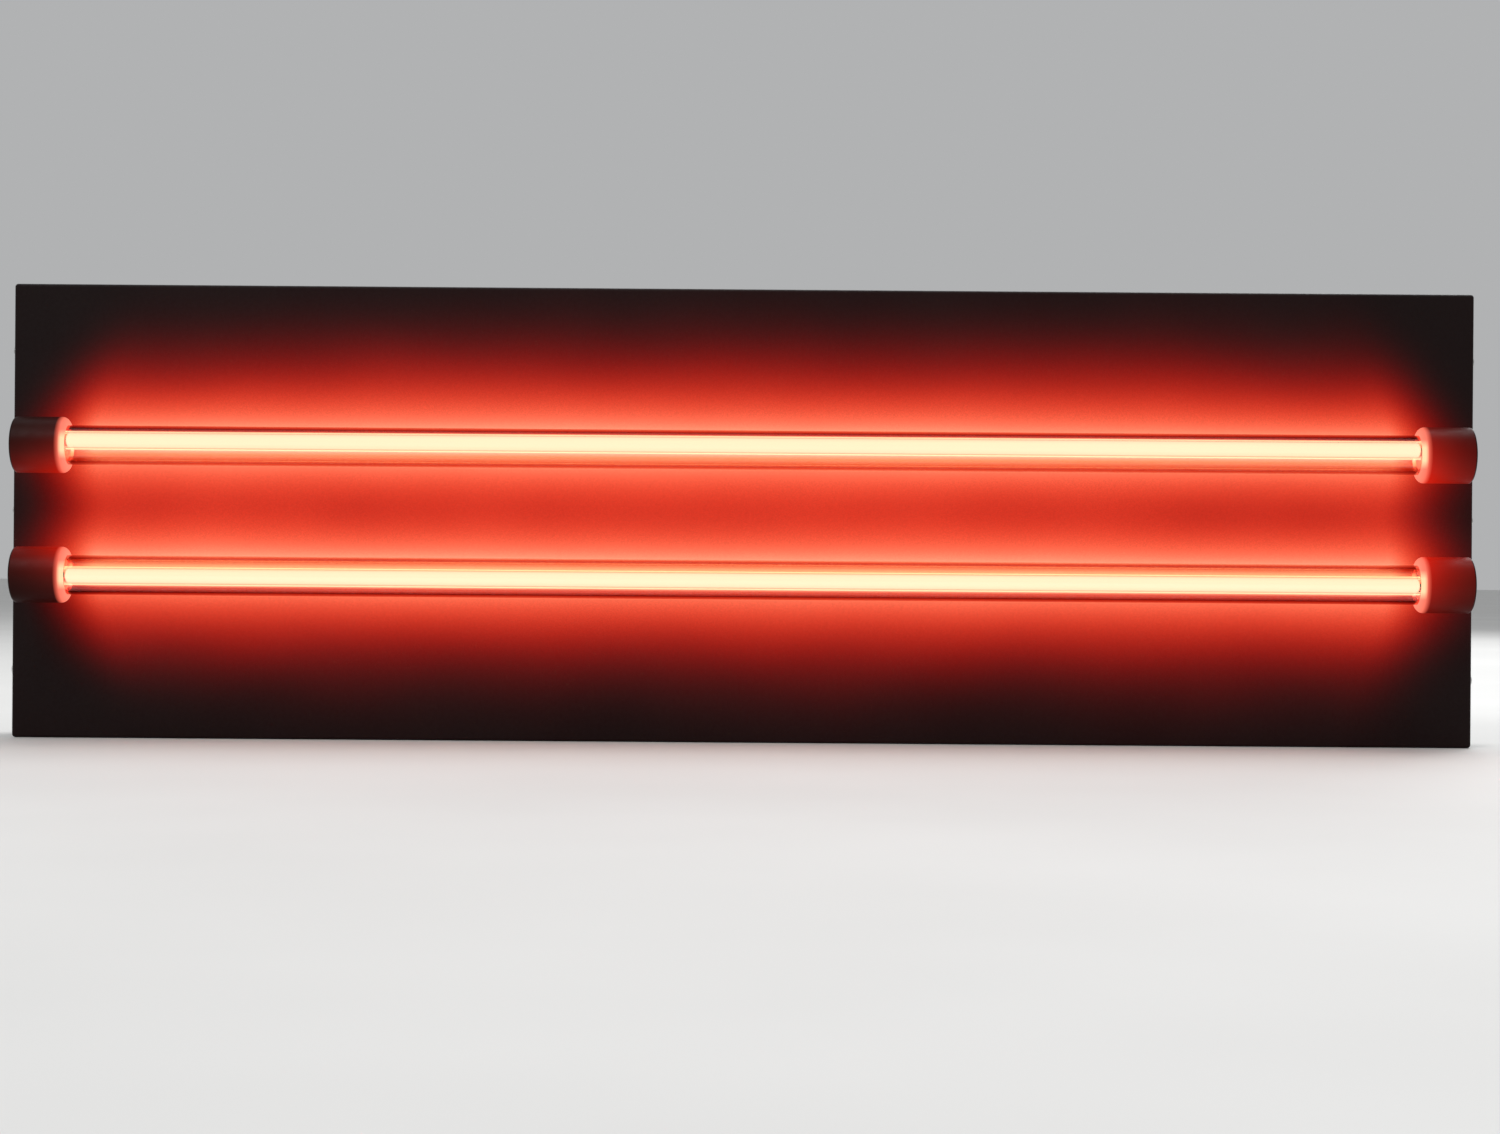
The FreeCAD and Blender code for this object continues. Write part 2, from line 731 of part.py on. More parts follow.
def make_socket(name, side, level):
    """A porcelain socket: a barrel around the sleeve's end on a foot that stands on the panel."""
    socket = end_body(f"socket_{name}", side, level)
    barrel = new_sketch(socket, "barrel")
    add_outline(
        barrel,
        ((0, 0), (0, "socket_diameter / 2"), ("socket_length", "socket_diameter / 2"), ("socket_length", 0)),
    )
    turn_profile(socket, "barrel", barrel)

    foot = new_sketch(socket, "foot", out="-(tube_standoff - foot_gasket)")
    add_rectangle(foot, "foot_length / 2", "foot_width / 2", "foot_centre", 0)
    pad(socket, "foot", foot, "tube_standoff - foot_gasket")
    edge_x = [size("foot_centre") + sign * size("foot_length") / 2 for sign in (-1, 1)]

    def is_foot_corner(edge):
        middle = edge.CenterOfMass
        at_end = min(abs(middle.x - x) for x in edge_x) < EXACT
        at_side = abs(abs(middle.z) - size("foot_width") / 2) < EXACT
        return runs_along(edge, Vector(0, 1, 0)) and at_end and at_side

    round_edges(socket, "foot_corners", "foot_radius", is_foot_corner)

    bore = new_sketch(socket, "bore")
    plug_face = "socket_length - plug_depth"
    add_outline(
        bore,
        (
            (0, 0),
            (0, "seat_diameter / 2"),
            ("seat_depth", "seat_diameter / 2"),
            ("seat_depth", "chamber_diameter / 2"),
            (plug_face, "chamber_diameter / 2"),
            (plug_face, "plug_diameter / 2"),
            ("socket_length", "plug_diameter / 2"),
            ("socket_length", 0),
        ),
    )
    turn_profile(socket, "bore", bore, "Groove")

    passage = new_sketch(socket, "passage", out="-(tube_standoff - foot_gasket)")
    add_circle(passage, "passage", "foot_centre", 0)
    pocket(socket, "passage", passage, "tube_standoff - foot_gasket", back=True)
    screw_holes = new_sketch(socket, "screw_holes", out="-(tube_standoff - foot_gasket)")
    for end in (-1, 1):
        add_circle(screw_holes, "socket_screw", f"foot_centre + {end} * socket_screw_pitch / 2", 0)
    pocket(socket, "screw_holes", screw_holes, "socket_screw_grip + screw_clearance", back=True)

    outside = size("socket_diameter")
    round_edges(socket, "lip", "lip_radius", lambda edge: is_circle(edge, outside, 0))
    round_edges(socket, "rear", "rear_radius", lambda edge: is_circle(edge, outside, size("socket_length")))


def make_socket_gaskets():
    """Rubber gaskets between the feet of the sockets and the panel."""
    gaskets = new_body("socket_gaskets")
    face = new_sketch(gaskets, "face", out="panel_front")
    add_rectangle(face, "foot_length / 2", "foot_width / 2", SOCKET_X, "tube_pitch / 2")
    add_circle(face, "passage", SOCKET_X, "tube_pitch / 2")
    for side in (-1, 1):
        x = f"{SOCKET_X} + {side} * socket_screw_pitch / 2"
        add_circle(face, "socket_screw + screw_clearance", x, "tube_pitch / 2")
    gasket = pad(gaskets, "sheet", face, "foot_gasket")
    corners = round_edges(gaskets, "corners", "foot_radius", lambda edge: runs_along(edge, Vector(0, 1, 0)))
    repeat(gaskets, [gasket, corners], [LEFT_RIGHT, UP_DOWN])


def make_socket_plugs():
    """Slotted plugs that close the outer ends of the sockets and hold the contacts in place."""
    plugs = new_body("socket_plugs", y=f"-{TUBE_DEPTH}")
    profile = new_sketch(plugs, "profile", up="tube_pitch / 2")
    inside = "mouth_x + socket_length - plug_depth + fit"
    outside = "mouth_x + socket_length"
    add_outline(
        profile,
        (
            (inside, 0),
            (inside, "plug_diameter / 2 - fit"),
            (outside, "plug_diameter / 2 - fit"),
            (outside, 0),
        ),
    )
    plug = turn_profile(plugs, "plug", profile)
    slot = new_sketch(plugs, "slot", "YZ_Plane", up="tube_pitch / 2", out=outside)
    add_rectangle(slot, "plug_slot / 2", "plug_diameter * slot_share")
    slot_cut = pocket(plugs, "slot", slot, "plug_slot_depth")
    repeat(plugs, [plug, slot_cut], [LEFT_RIGHT, UP_DOWN])


def make_socket_screws():
    """Screws driven from inside the case, through the panel and gasket into the feet."""
    screws = new_body("socket_screws")
    profile = new_sketch(
        screws, "profile", "XY_Plane", across=f"{SOCKET_X} - socket_screw_pitch / 2", out="tube_pitch / 2"
    )
    head_face = f"-{PANEL_INSIDE}"
    tip = "-(panel_front + foot_gasket + socket_screw_grip)"
    add_outline(
        profile,
        (
            (0, tip),
            ("socket_screw / 2 - fit", tip),
            ("socket_screw / 2 - fit", head_face),
            ("socket_screw_head / 2", head_face),
            ("socket_screw_head / 2", f"{head_face} + socket_screw_head_height * head_shoulder"),
            ("socket_screw_head / 2 * head_crown", f"{head_face} + socket_screw_head_height"),
            (0, f"{head_face} + socket_screw_head_height"),
        ),
    )
    screw = turn_profile(screws, "screw", profile, axis="V_Axis")
    repeat(screws, [screw], [("row", profile, "H_Axis", "socket_screw_pitch", "2"), LEFT_RIGHT, UP_DOWN])


def make_sleeve_gaskets():
    """Thin rubber washers between the ends of the sleeves and the bottoms of the seats."""
    gaskets = new_body("sleeve_gaskets", y=f"-{TUBE_DEPTH}")
    start = "mouth_x + sleeve_entry + fit"
    face = new_sketch(gaskets, "face", "YZ_Plane", up="tube_pitch / 2", out=start)
    add_circle(face, "seat_diameter - gasket_margin")
    add_circle(face, "chamber_diameter + 2 * gasket_margin")
    washer = pad(gaskets, "washer", face, "gasket_thickness")
    repeat(gaskets, [washer], [LEFT_RIGHT, UP_DOWN])


# ---------------------------------------------------------------- sprung contacts


def make_contact_sleeves():
    """Brass guides, one in each socket, with a flange that the spring presses against the plug."""
    sleeves = new_body("contact_sleeves", y=f"-{TUBE_DEPTH}")
    section = new_sketch(sleeves, "section", across="mouth_x", up="tube_pitch / 2")
    back = "socket_length - plug_depth"
    front = f"{back} - contact_flange_thickness"
    add_outline(
        section,
        (
            ("contact_barrel_start", "contact_bore / 2"),
            ("contact_barrel_start", "contact_barrel / 2"),
            (front, "contact_barrel / 2"),
            (front, "contact_flange / 2"),
            (back, "contact_flange / 2"),
            (back, "contact_bore / 2"),
        ),
    )
    guide = turn_profile(sleeves, "guide", section)
    repeat(sleeves, [guide], [LEFT_RIGHT, UP_DOWN])


def make_contact_plunger(name, side, level):
    """The brass plunger that the spring presses against the tube's cap."""
    plunger = end_body(f"contact_plunger_{name}", side, level)
    face = "neon_entry + cap_wall + 4 * fit"
    section = new_sketch(plunger, "section")
    add_outline(
        section,
        (
            (face, 0),
            (face, "plunger_head / 2 - plunger_chamfer"),
            (f"{face} + plunger_chamfer", "plunger_head / 2"),
            (f"{face} + plunger_head_thickness", "plunger_head / 2"),
            (f"{face} + plunger_head_thickness", "plunger_stem / 2"),
            ("plunger_stem_end", "plunger_stem / 2"),
            ("plunger_stem_end", 0),
        ),
    )
    turn_profile(plunger, "plunger", section)


def make_contact_spring(name, side, level):
    """The coil spring round the guide, between its flange and the plunger's head."""
    spring = end_body(f"contact_spring_{name}", side, level)
    start = "neon_entry + cap_wall + 5 * fit + plunger_head_thickness + spring_wire / 2"
    end = "socket_length - plug_depth - contact_flange_thickness - fit - spring_wire / 2"
    wire = new_sketch(spring, "wire")
    add_circle(wire, "spring_wire", start, "spring_mean / 2")
    coil = spring.newObject("PartDesign::AdditiveHelix", f"{spring.Label}_coil")
    coil.Profile = (wire, [""])
    coil.ReferenceAxis = (wire, ["H_Axis"])
    coil.Mode = "height-turns-angle"
    bind(coil, "Height", f"{end} - ({start})")
    bind(coil, "Turns", "spring_turns")
    coil.Angle = 0
    finish_feature(spring, coil)


# ---------------------------------------------------------------- high-voltage supply


def make_supply_case():
    """An aluminium box, open at the front, with an ear at each end over two studs."""
    case = new_body("supply_case", y="-sheet")
    base = new_sketch(case, "base")
    add_rectangle(base, "supply_length / 2 + supply_ear", "supply_height / 2")
    pad(case, "base", base, "supply_wall")
    box = new_sketch(case, "box")
    add_rectangle(box, "supply_length / 2", "supply_height / 2")
    pad(case, "box", box, "supply_depth")
    hollow = new_sketch(case, "hollow", out="supply_wall")
    add_rectangle(hollow, "supply_length / 2 - supply_wall", "supply_height / 2 - supply_wall")
    pocket(case, "hollow", hollow, "supply_depth", back=True)
    ear_hole = new_sketch(case, "ear_hole")
    ear_middle = "(supply_length + supply_ear) / 2"
    add_circle(ear_hole, "screw_thread + screw_clearance", ear_middle, "stud_pitch_z / 2")
    ear_cut = pocket(case, "ear_hole", ear_hole, "4 * supply_wall", both=True)
    repeat(case, [ear_cut], [LEFT_RIGHT, UP_DOWN], cuts=True)
    bushing_hole = new_sketch(case, "bushing_hole", "YZ_Plane", out="-supply_length / 2")
    for level in (-1, 1):
        add_circle(bushing_hole, "bushing_diameter + 2 * fit", "sheet - bushing_y", f"{level} * bushing_z")
    pocket(case, "bushing_hole", bushing_hole, "4 * supply_wall", both=True)
    wire_hole = new_sketch(case, "wire_hole", "YZ_Plane", out="supply_length / 2")
    for level in (-1, 1):
        add_circle(wire_hole, "2 * wire_diameter", "sheet - lead_depth", f"{level} * supply_wire_z")
    pocket(case, "wire_hole", wire_hole, "4 * supply_wall", both=True)


def make_supply_lid():
    """The supply's lid, with a hollow lip that drops inside the box."""
    lid = new_body("supply_lid", y=f"-{SUPPLY_FRONT}")
    plate = new_sketch(lid, "plate", out="fit")
    add_rectangle(plate, "supply_length / 2", "supply_height / 2")
    pad(lid, "plate", plate, "supply_wall")
    lip = new_sketch(lid, "lip", out="fit")
    for inset in ("supply_wall + 4 * fit", "2 * supply_wall"):
        add_rectangle(lip, f"supply_length / 2 - ({inset})", f"supply_height / 2 - ({inset})")
    pad(lid, "lip", lip, "supply_lid_lip", back=True)


def make_supply_board():
    """The circuit board, with a hole over each spacer."""
    board = new_body("supply_board", y=f"-({BOARD_FRONT} - board_thickness)")
    face = new_sketch(board, "face")
    add_rectangle(face, "board_length / 2", "board_height / 2")
    pad(board, "board", face, "board_thickness")
    hole = new_sketch(board, "hole")
    add_circle(hole, "spacer_diameter / 2", SPACER_X, SPACER_Z)
    hole_cut = pocket(board, "hole", hole, "4 * board_thickness", both=True)
    repeat(board, [hole_cut], [LEFT_RIGHT, UP_DOWN], cuts=True)


def make_board_spacers():
    """Snap-in spacers that hold the board off the floor of the box."""
    spacers = new_body("board_spacers", y="-(sheet + supply_wall)")
    profile = new_sketch(spacers, "profile", "XY_Plane", across=SPACER_X, out=SPACER_Z)
    top = "-(spacer_height + board_thickness)"
    add_outline(
        profile,
        (
            (0, 0),
            ("spacer_diameter / 2", 0),
            ("spacer_diameter / 2", "-spacer_height + fit"),
            ("spacer_diameter / 4 - fit", "-spacer_height + fit"),
            ("spacer_diameter / 4 - fit", top),
            (0, top + " - spacer_tip"),
        ),
    )
    spacer = turn_profile(spacers, "spacer", profile, axis="V_Axis")
    repeat(spacers, [spacer], [LEFT_RIGHT, UP_DOWN])


def make_ferrite_core():
    """The transformer's core: three legs between two yokes, lying flat over the board."""
    core = new_body("ferrite_core", "core_x", f"-({BOARD_FRONT} + core_lift)")
    face = new_sketch(core, "face")
    add_rectangle(face, "core_width / 2", "core_height / 2")
    pad(core, "block", face, "core_depth")
    windows = new_sketch(core, "windows")
    window = "(core_width - 2 * core_leg - core_centre_leg) / 4"
    for side in (-1, 1):
        x = f"{side} * (core_centre_leg / 2 + {window})"
        add_rectangle(windows, window, "core_height / 2 - core_leg", x, 0)
    pocket(core, "windows", windows, "4 * core_depth", both=True)


def make_winding():
    """The potted high-voltage winding round the core's centre leg."""
    winding = new_body("high_voltage_winding", "core_x", f"-({BOARD_FRONT} + core_lift + core_depth / 2)")
    ring = new_sketch(winding, "ring", "XY_Plane", out="-winding_height / 2")
    add_rectangle(ring, "core_centre_leg / 2 + winding_wall", "core_depth / 2 + winding_wall")
    add_rectangle(ring, "core_centre_leg / 2 + 2 * fit", "core_depth / 2 + 2 * fit")
    pad(winding, "coil", ring, "winding_height")
    outer_half = size("core_centre_leg") / 2 + size("winding_wall")

    def is_outer_corner(edge):
        return runs_along(edge, Vector(0, 0, 1)) and abs(abs(edge.CenterOfMass.x) - outer_half) < EXACT

    round_edges(winding, "corners", "winding_round", is_outer_corner)


def make_filter_capacitors():
    """Two electrolytic capacitors standing on the board."""
    capacitors = new_body("filter_capacitors", y=f"-{BOARD_FRONT}")
    profile = new_sketch(capacitors, "profile", "XY_Plane", across="capacitor_x", out="-capacitor_z")
    radius = "capacitor_diameter / 2"
    add_outline(
        profile,
        (
            (0, "-fit"),
            (radius, "-fit"),
            (radius, "-capacitor_groove"),
            (f"{radius} - capacitor_crimp", "-capacitor_groove - capacitor_crimp"),
            (radius, "-capacitor_groove - 2 * capacitor_crimp"),
            (radius, "-capacitor_height + capacitor_rim"),
            (f"{radius} - capacitor_rim", "-capacitor_height"),
            (0, "-capacitor_height"),
        ),
    )
    can = turn_profile(capacitors, "can", profile, axis="V_Axis")
    repeat(capacitors, [can], [UP_DOWN])


def make_output_bushings():
    """Ribbed bushings that carry the two high-voltage leads through the end of the supply."""
    bushings = new_body("output_bushings", "-supply_length / 2", "-bushing_y")
    profile = new_sketch(bushings, "profile", up="bushing_z")
    inner = "lead_diameter / 2 + fit"
    body_radius = "bushing_diameter / 2"
    inside = "supply_wall + bushing_inside"
    corners = [(inside, inner), (inside, body_radius)]
    for rib in range(3):
        start = f"-{rib} * bushing_length / 5"
        corners += [
            (start, body_radius),
            (start, "bushing_rib / 2"),
            (f"{start} - bushing_length / 10", "bushing_rib / 2"),
            (f"{start} - bushing_length / 10", body_radius),
        ]
    corners += [("-bushing_length", f"{body_radius} - bushing_taper"), ("-bushing_length", inner)]
    add_outline(profile, corners)
    bushing = turn_profile(bushings, "bushing", profile)
    repeat(bushings, [bushing], [UP_DOWN])


def add_stud(body, name, x, z, length):
    """A press-in stud at (x, z): its head is flush in the tray's back and its shank points forward."""
    profile = new_sketch(body, name, "XY_Plane", across=x, out=z)
    add_outline(
        profile,
        (
            (0, 0),
            ("stud_head / 2 - fit", 0),
            ("stud_head / 2 - fit", "-sheet + fit"),
            ("screw_thread / 2 - fit", "-sheet + fit"),
            ("screw_thread / 2 - fit", f"-({length})"),
            (0, f"-({length})"),
        ),
    )
    return turn_profile(body, name, profile, axis="V_Axis")


def add_nut(body, name, x, z, face):
    """A hexagon nut at (x, z), standing on a face at that depth."""
    hexagon = new_sketch(body, name, across=x, up=z, out=face)
    add_hexagon(hexagon, "nut_flats")
    add_circle(hexagon, "screw_thread + 2 * fit")
    return pad(body, name, hexagon, "nut_height")


def make_studs_and_nuts():
    """Studs in the back of the tray, and the nuts that clamp the supply, the block and the earth."""
    studs = new_body("press_studs")
    stud = add_stud(studs, "supply", "(supply_length + supply_ear) / 2", "stud_pitch_z / 2", "stud_length")
    repeat(studs, [stud], [LEFT_RIGHT, UP_DOWN])
    add_stud(studs, "earth", "earth_x", "earth_z", "earth_stud_length")
    for side, name in ((-1, "block_left"), (1, "block_right")):
        x = f"block_x + {side} * (block_length / 2 - block_ear)"
        add_stud(studs, name, x, "block_z", "sheet + block_height + block_stud_reach")

    nuts = new_body("stud_nuts")
    supply_nut = add_nut(
        nuts, "supply", "(supply_length + supply_ear) / 2", "stud_pitch_z / 2", "sheet + supply_wall + fit"
    )
    repeat(nuts, [supply_nut], [LEFT_RIGHT, UP_DOWN])
    add_nut(nuts, "earth", "earth_x", "earth_z", "sheet + ring_thickness + 3 * fit")
    for side, name in ((-1, "block_left"), (1, "block_right")):
        x = f"block_x + {side} * (block_length / 2 - block_ear)"
        add_nut(nuts, name, x, "block_z", "sheet + block_height + 3 * fit")


def make_lead_clips():
    """P-shaped clips that hold the two high-voltage leads off the tray."""
    clips = new_body("lead_clips", "-clip_x - 2 * clip_pitch")
    centre_y = "-lead_depth"
    outer = "lead_diameter / 2 + clip_wall"
    post = new_sketch(clips, "post", "YZ_Plane", up="tube_pitch / 2")
    add_rectangle(post, "(lead_depth - sheet) / 2", "clip_wall", "-(lead_depth + sheet) / 2", 0)
    post_pad = pad(clips, "post", post, "clip_width", both=True)
    pad_foot = new_sketch(clips, "foot", "YZ_Plane", up="tube_pitch / 2")
    add_rectangle(pad_foot, "clip_wall / 2", "clip_foot_width / 2", "-sheet - clip_wall / 2", 0)
    foot_pad = pad(clips, "foot", pad_foot, "clip_foot_length", both=True)
    ring = new_sketch(clips, "ring", "YZ_Plane", up="tube_pitch / 2")
    add_circle(ring, f"2 * ({outer})", centre_y, 0)
    ring_pad = pad(clips, "ring", ring, "clip_width", both=True)
    bore = new_sketch(clips, "bore", "YZ_Plane", up="tube_pitch / 2")
    add_circle(bore, "lead_diameter + 2 * fit", centre_y, 0)
    bore_cut = pocket(clips, "bore", bore, "4 * clip_width", both=True)
    row = ("row", bore, "N_Axis", "2 * clip_pitch", "3")
    repeat(clips, [post_pad, foot_pad, ring_pad, bore_cut], [row, UP_DOWN])


# ---------------------------------------------------------------- cables


def rounded_path(points, radius):
    """A wire through the points, with an arc of the given radius at each corner."""
    edges = []
    start = points[0]
    for before, corner, after in zip(points, points[1:], points[2:]):
        inwards = (before - corner).normalize()
        outwards = (after - corner).normalize()
        half_angle = inwards.getAngle(outwards) / 2
        trim = radius / math.tan(half_angle)
        arc_start = corner + inwards * trim
        arc_end = corner + outwards * trim
        bisector = (inwards + outwards).normalize()
        centre = corner + bisector * (radius / math.sin(half_angle))
        arc_middle = centre - bisector * radius
        if (arc_start - start).Length > EXACT:
            edges.append(Part.LineSegment(start, arc_start).toShape())
        edges.append(Part.Arc(arc_start, arc_middle, arc_end).toShape())
        start = arc_end
    edges.append(Part.LineSegment(start, points[-1]).toShape())
    return Part.Wire(edges)


def sweep_round(points, diameter, radius):
    """A round bar swept along the rounded path through the points."""
    path = rounded_path(points, radius)
    direction = points[1] - points[0]
    profile = Part.Wire(Part.makeCircle(diameter / 2, points[0], direction))
    return path.makePipeShell([profile], True, False)


def add_cable(label, points, diameter, radius, tails=()):
    """A cable as one solid, with any bare conductor ends given as further point lists."""
    shape = sweep_round(points, diameter, radius)
    for tail in tails:
        conductor = size("lead_conductor")
        shape = shape.fuse(sweep_round(tail, conductor, conductor))
    cable = doc.addObject("Part::Feature", label)
    cable.Shape = shape.removeSplitter()
    parts.append(cable)


def contact_tail(side, level):
    """The path of the bare conductor from the lead's end in a socket to the flange of its contact."""
    x = side * (size("mouth_x") + size("foot_centre"))
    flange = size("socket_length") - size("plug_depth") - size("contact_flange_thickness") - size("fit")
    tube_y = -(size("panel_front") + size("tube_standoff"))
    beside = tube_y + size("chamber_diameter") / 2 - size("tail_inset")
    z = level * size("tube_pitch") / 2
    end = side * (size("mouth_x") + flange)
    return [Vector(x, beside + size("tail_start"), z), Vector(x, beside, z), Vector(end, beside, z)]


def make_high_voltage_leads():
    """The leads from the supply to the left-hand sockets, and the link between the right-hand ones."""
    depth = -size("lead_depth")
    socket_x = size("mouth_x") + size("foot_centre")
    tube_y = -(size("panel_front") + size("tube_standoff"))
    lead_end = tube_y + size("chamber_diameter") / 2 + size("lead_stop")
    supply_end = -size("supply_length") / 2
    straight_end = supply_end - size("bushing_length") - size("lead_straight")
    half_pitch = size("tube_pitch") / 2
    for name, level in (("upper", 1), ("lower", -1)):
        z = level * half_pitch
        bushing_z = level * size("bushing_z")
        points = [
            Vector(-socket_x, lead_end, z),
            Vector(-socket_x, depth, z),
            Vector(straight_end - size("lead_spread"), depth, z),
            Vector(straight_end, depth, bushing_z),
            Vector(supply_end - size("lead_stop"), depth, bushing_z),
        ]
        tails = [contact_tail(-1, level)]
        add_cable(f"{name}_supply_lead", points, size("lead_diameter"), size("lead_bend"), tails)
    link = [
        Vector(socket_x, lead_end, half_pitch),
        Vector(socket_x, depth, half_pitch),
        Vector(socket_x, depth, -half_pitch),
        Vector(socket_x, lead_end, -half_pitch),
    ]
    tails = [contact_tail(1, 1), contact_tail(1, -1)]
    add_cable("series_link_lead", link, size("lead_diameter"), size("lead_bend"), tails)


def add_wire(label, *points):
    """A thin insulated mains wire through the points."""
    add_cable(label, [Vector(*point) for point in points], size("wire_diameter"), size("wire_bend"))


def make_mains_wires():
    """Single wires between the terminal block, switch, fuse holder, supply and earth stud."""
    service = -size("service_y")
    depth = -size("lead_depth")
    wall = size("panel_width") / 2 - size("sheet") - size("panel_gap")
    block_x, block_z = size("block_x"), size("block_z")
    pole_y = -(size("sheet") + size("pole_height"))
    pole_end = size("block_width") / 2 - size("pole_depth")
    blade_end = wall - size("switch_depth") - size("blade_length") - size("fit")
    blade_low = size("switch_z") - size("blade_pitch") / 2
    blade_high = size("switch_z") + size("blade_pitch") / 2
    holder_end = wall - size("holder_depth") - size("fit")
    fuse_z = size("fuse_z")
    slack = size("wire_slack")
    inside_supply = size("supply_length") / 2 - size("supply_wire_entry")
    outside_supply = inside_supply + size("supply_wire_reach")
    run_z = size("earth_z") + slack

    live_x = block_x + size("pole_pitch")
    add_wire(
        "live_wire",
        (live_x, pole_y, block_z - pole_end),
        (live_x, pole_y, block_z - size("block_width") / 2 - slack),
        (blade_end - slack, service, blade_low),
        (blade_end, service, blade_low),
    )
    add_wire(
        "fuse_link_wire",
        (blade_end, service, blade_high),
        (blade_end - slack, service, blade_high),
        (holder_end - slack, service, fuse_z),
        (holder_end, service, fuse_z),
    )
    side_terminal_x = wall - size("side_terminal")
    side_terminal_z = fuse_z + size("holder_diameter") / 2 + size("fit")
    add_wire(
        "supply_live_wire",
        (side_terminal_x, service, side_terminal_z),
        (side_terminal_x, service, run_z),
        (block_x - 2 * slack, pole_y - size("pole_depth"), run_z),
        (outside_supply, depth, -size("supply_wire_z")),
        (inside_supply, depth, -size("supply_wire_z")),
    )
    add_wire(
        "neutral_wire",
        (block_x, pole_y, block_z + pole_end),
        (block_x, pole_y, run_z + slack),
        (outside_supply, depth, size("supply_wire_z")),
        (inside_supply, depth, size("supply_wire_z")),
    )


def make_earth_wire():
    """The earth wire, with the ring terminal that the nut clamps onto the earth stud."""
    x, z = size("earth_x"), size("earth_z")
    face = -(size("sheet") + size("fit"))
    thickness = size("ring_thickness")
    away = Vector(0, -1, 0)
    ring = Part.makeCylinder(size("ring_diameter") / 2, thickness, Vector(x, face, z), away)
    hole = Part.makeCylinder(size("screw_thread") / 2 + size("fit"), thickness, Vector(x, face, z), away)
    tab_length = size("ring_diameter") / 2 + size("ring_tab")
    tab_width = size("ring_tab_width")
    tab = Part.makeBox(tab_length, thickness, tab_width, Vector(x, face - thickness, z - tab_width / 2))
    pole_x = size("block_x") - size("pole_pitch")
    pole_y = -(size("sheet") + size("pole_height"))
    wire_y = face - size("wire_diameter") / 2
    points = [
        Vector(pole_x, pole_y, size("block_z") + size("block_width") / 2 - size("pole_depth")),
        Vector(pole_x, pole_y, z - size("wire_bend")),
        Vector(pole_x - size("wire_bend"), wire_y, z),
        Vector(x + tab_length - size("ring_tab_width"), wire_y, z),
    ]
    wire = sweep_round(points, size("wire_diameter"), size("wire_bend") / 2)
    earth = doc.addObject("Part::Feature", "earth_wire")
    earth.Shape = ring.fuse([tab, wire]).cut(hole).removeSplitter()
    parts.append(earth)


# ---------------------------------------------------------------- terminal block and cable entry


def make_terminal_block():
    """A three-pole block: wires enter along Z and are clamped by screws from the front."""
    block = new_body("terminal_block", "block_x", "-sheet - fit", "block_z")
    face = new_sketch(block, "face")
    add_rectangle(face, "block_length / 2", "block_width / 2")
    pad(block, "block", face, "block_height")
    wire_way = new_sketch(block, "wire_way", "XY_Plane")
    for pole in (-1, 0, 1):
        add_circle(wire_way, "pole_bore", f"{pole} * pole_pitch", "fit - pole_height")
    pocket(block, "wire_way", wire_way, "2 * block_width", both=True)
    wells = new_sketch(block, "wells", out="pole_height")
    for pole in (-1, 0, 1):
        for row in (-1, 1):
            add_circle(wells, "pole_screw", f"{pole} * pole_pitch", f"{row} * block_width / 4")
    pocket(block, "wells", wells, "block_height", back=True)
    fixing = new_sketch(block, "fixing")
    for side in (-1, 1):
        add_circle(fixing, "screw_thread + screw_clearance", f"{side} * (block_length / 2 - block_ear)", 0)
    pocket(block, "fixing", fixing, "block_height", back=True)
    front = -size("block_height")

    def is_front_edge(edge):
        straight = edge.Curve.TypeId == "Part::GeomLine"
        return straight and edge.BoundBox.YMax < front + EXACT

    round_edges(block, "front_edges", "block_edge", is_front_edge)


def make_terminal_screws():
    """The slotted clamping screws of the terminal block."""
    screws = new_body("terminal_screws", "block_x - pole_pitch", "-sheet - fit", "block_z - block_width / 4")
    profile = new_sketch(screws, "profile", "XY_Plane")
    top = "-(block_height - pole_screw_sunk)"
    bottom = "-(pole_height + wire_diameter / 2 + fit)"
    add_outline(
        profile,
        ((0, bottom), ("pole_screw / 2 - fit", bottom), ("pole_screw / 2 - fit", top), (0, top)),
    )
    screw = turn_profile(screws, "screw", profile, axis="V_Axis")
    slot = new_sketch(screws, "slot", out="block_height - pole_screw_sunk")
    add_rectangle(slot, "pole_screw / 2", "pole_slot / 2")
    slot_cut = pocket(screws, "slot", slot, "pole_slot_depth")
    rows = [
        ("row", slot, "H_Axis", "2 * pole_pitch", "3"),
        ("row", slot, "V_Axis", "block_width / 2", "2"),
    ]
    repeat(screws, [screw, slot_cut], rows)


def make_cable_grommet():
    """The rubber bush in the cable entry, flush with the back of the tray."""
    grommet = new_body("cable_grommet", "entry_x", 0, "entry_z")
    profile = new_sketch(grommet, "profile", "XY_Plane")
    inner = "entry_bore / 2"
    neck = "entry_hole / 2 - fit"
    add_outline(
        profile,
        (
            (inner, 0),
            (neck, 0),
            (neck, "-sheet - fit"),
            ("entry_flange / 2", "-sheet - fit"),
            ("entry_flange / 2", "-sheet - entry_flange_height + entry_lip"),
            ("entry_flange / 2 - entry_lip", "-sheet - entry_flange_height"),
            (inner, "-sheet - entry_flange_height"),
        ),
    )
    turn_profile(grommet, "grommet", profile, axis="V_Axis")


# ---------------------------------------------------------------- switch and fuse


def service_body(label, height, turn=None):
    """A body in the right-hand wall: X runs outwards from the wall's outer face."""
    return new_body(label, TRAY_HALF_WIDTH, "-service_y", height, turn)


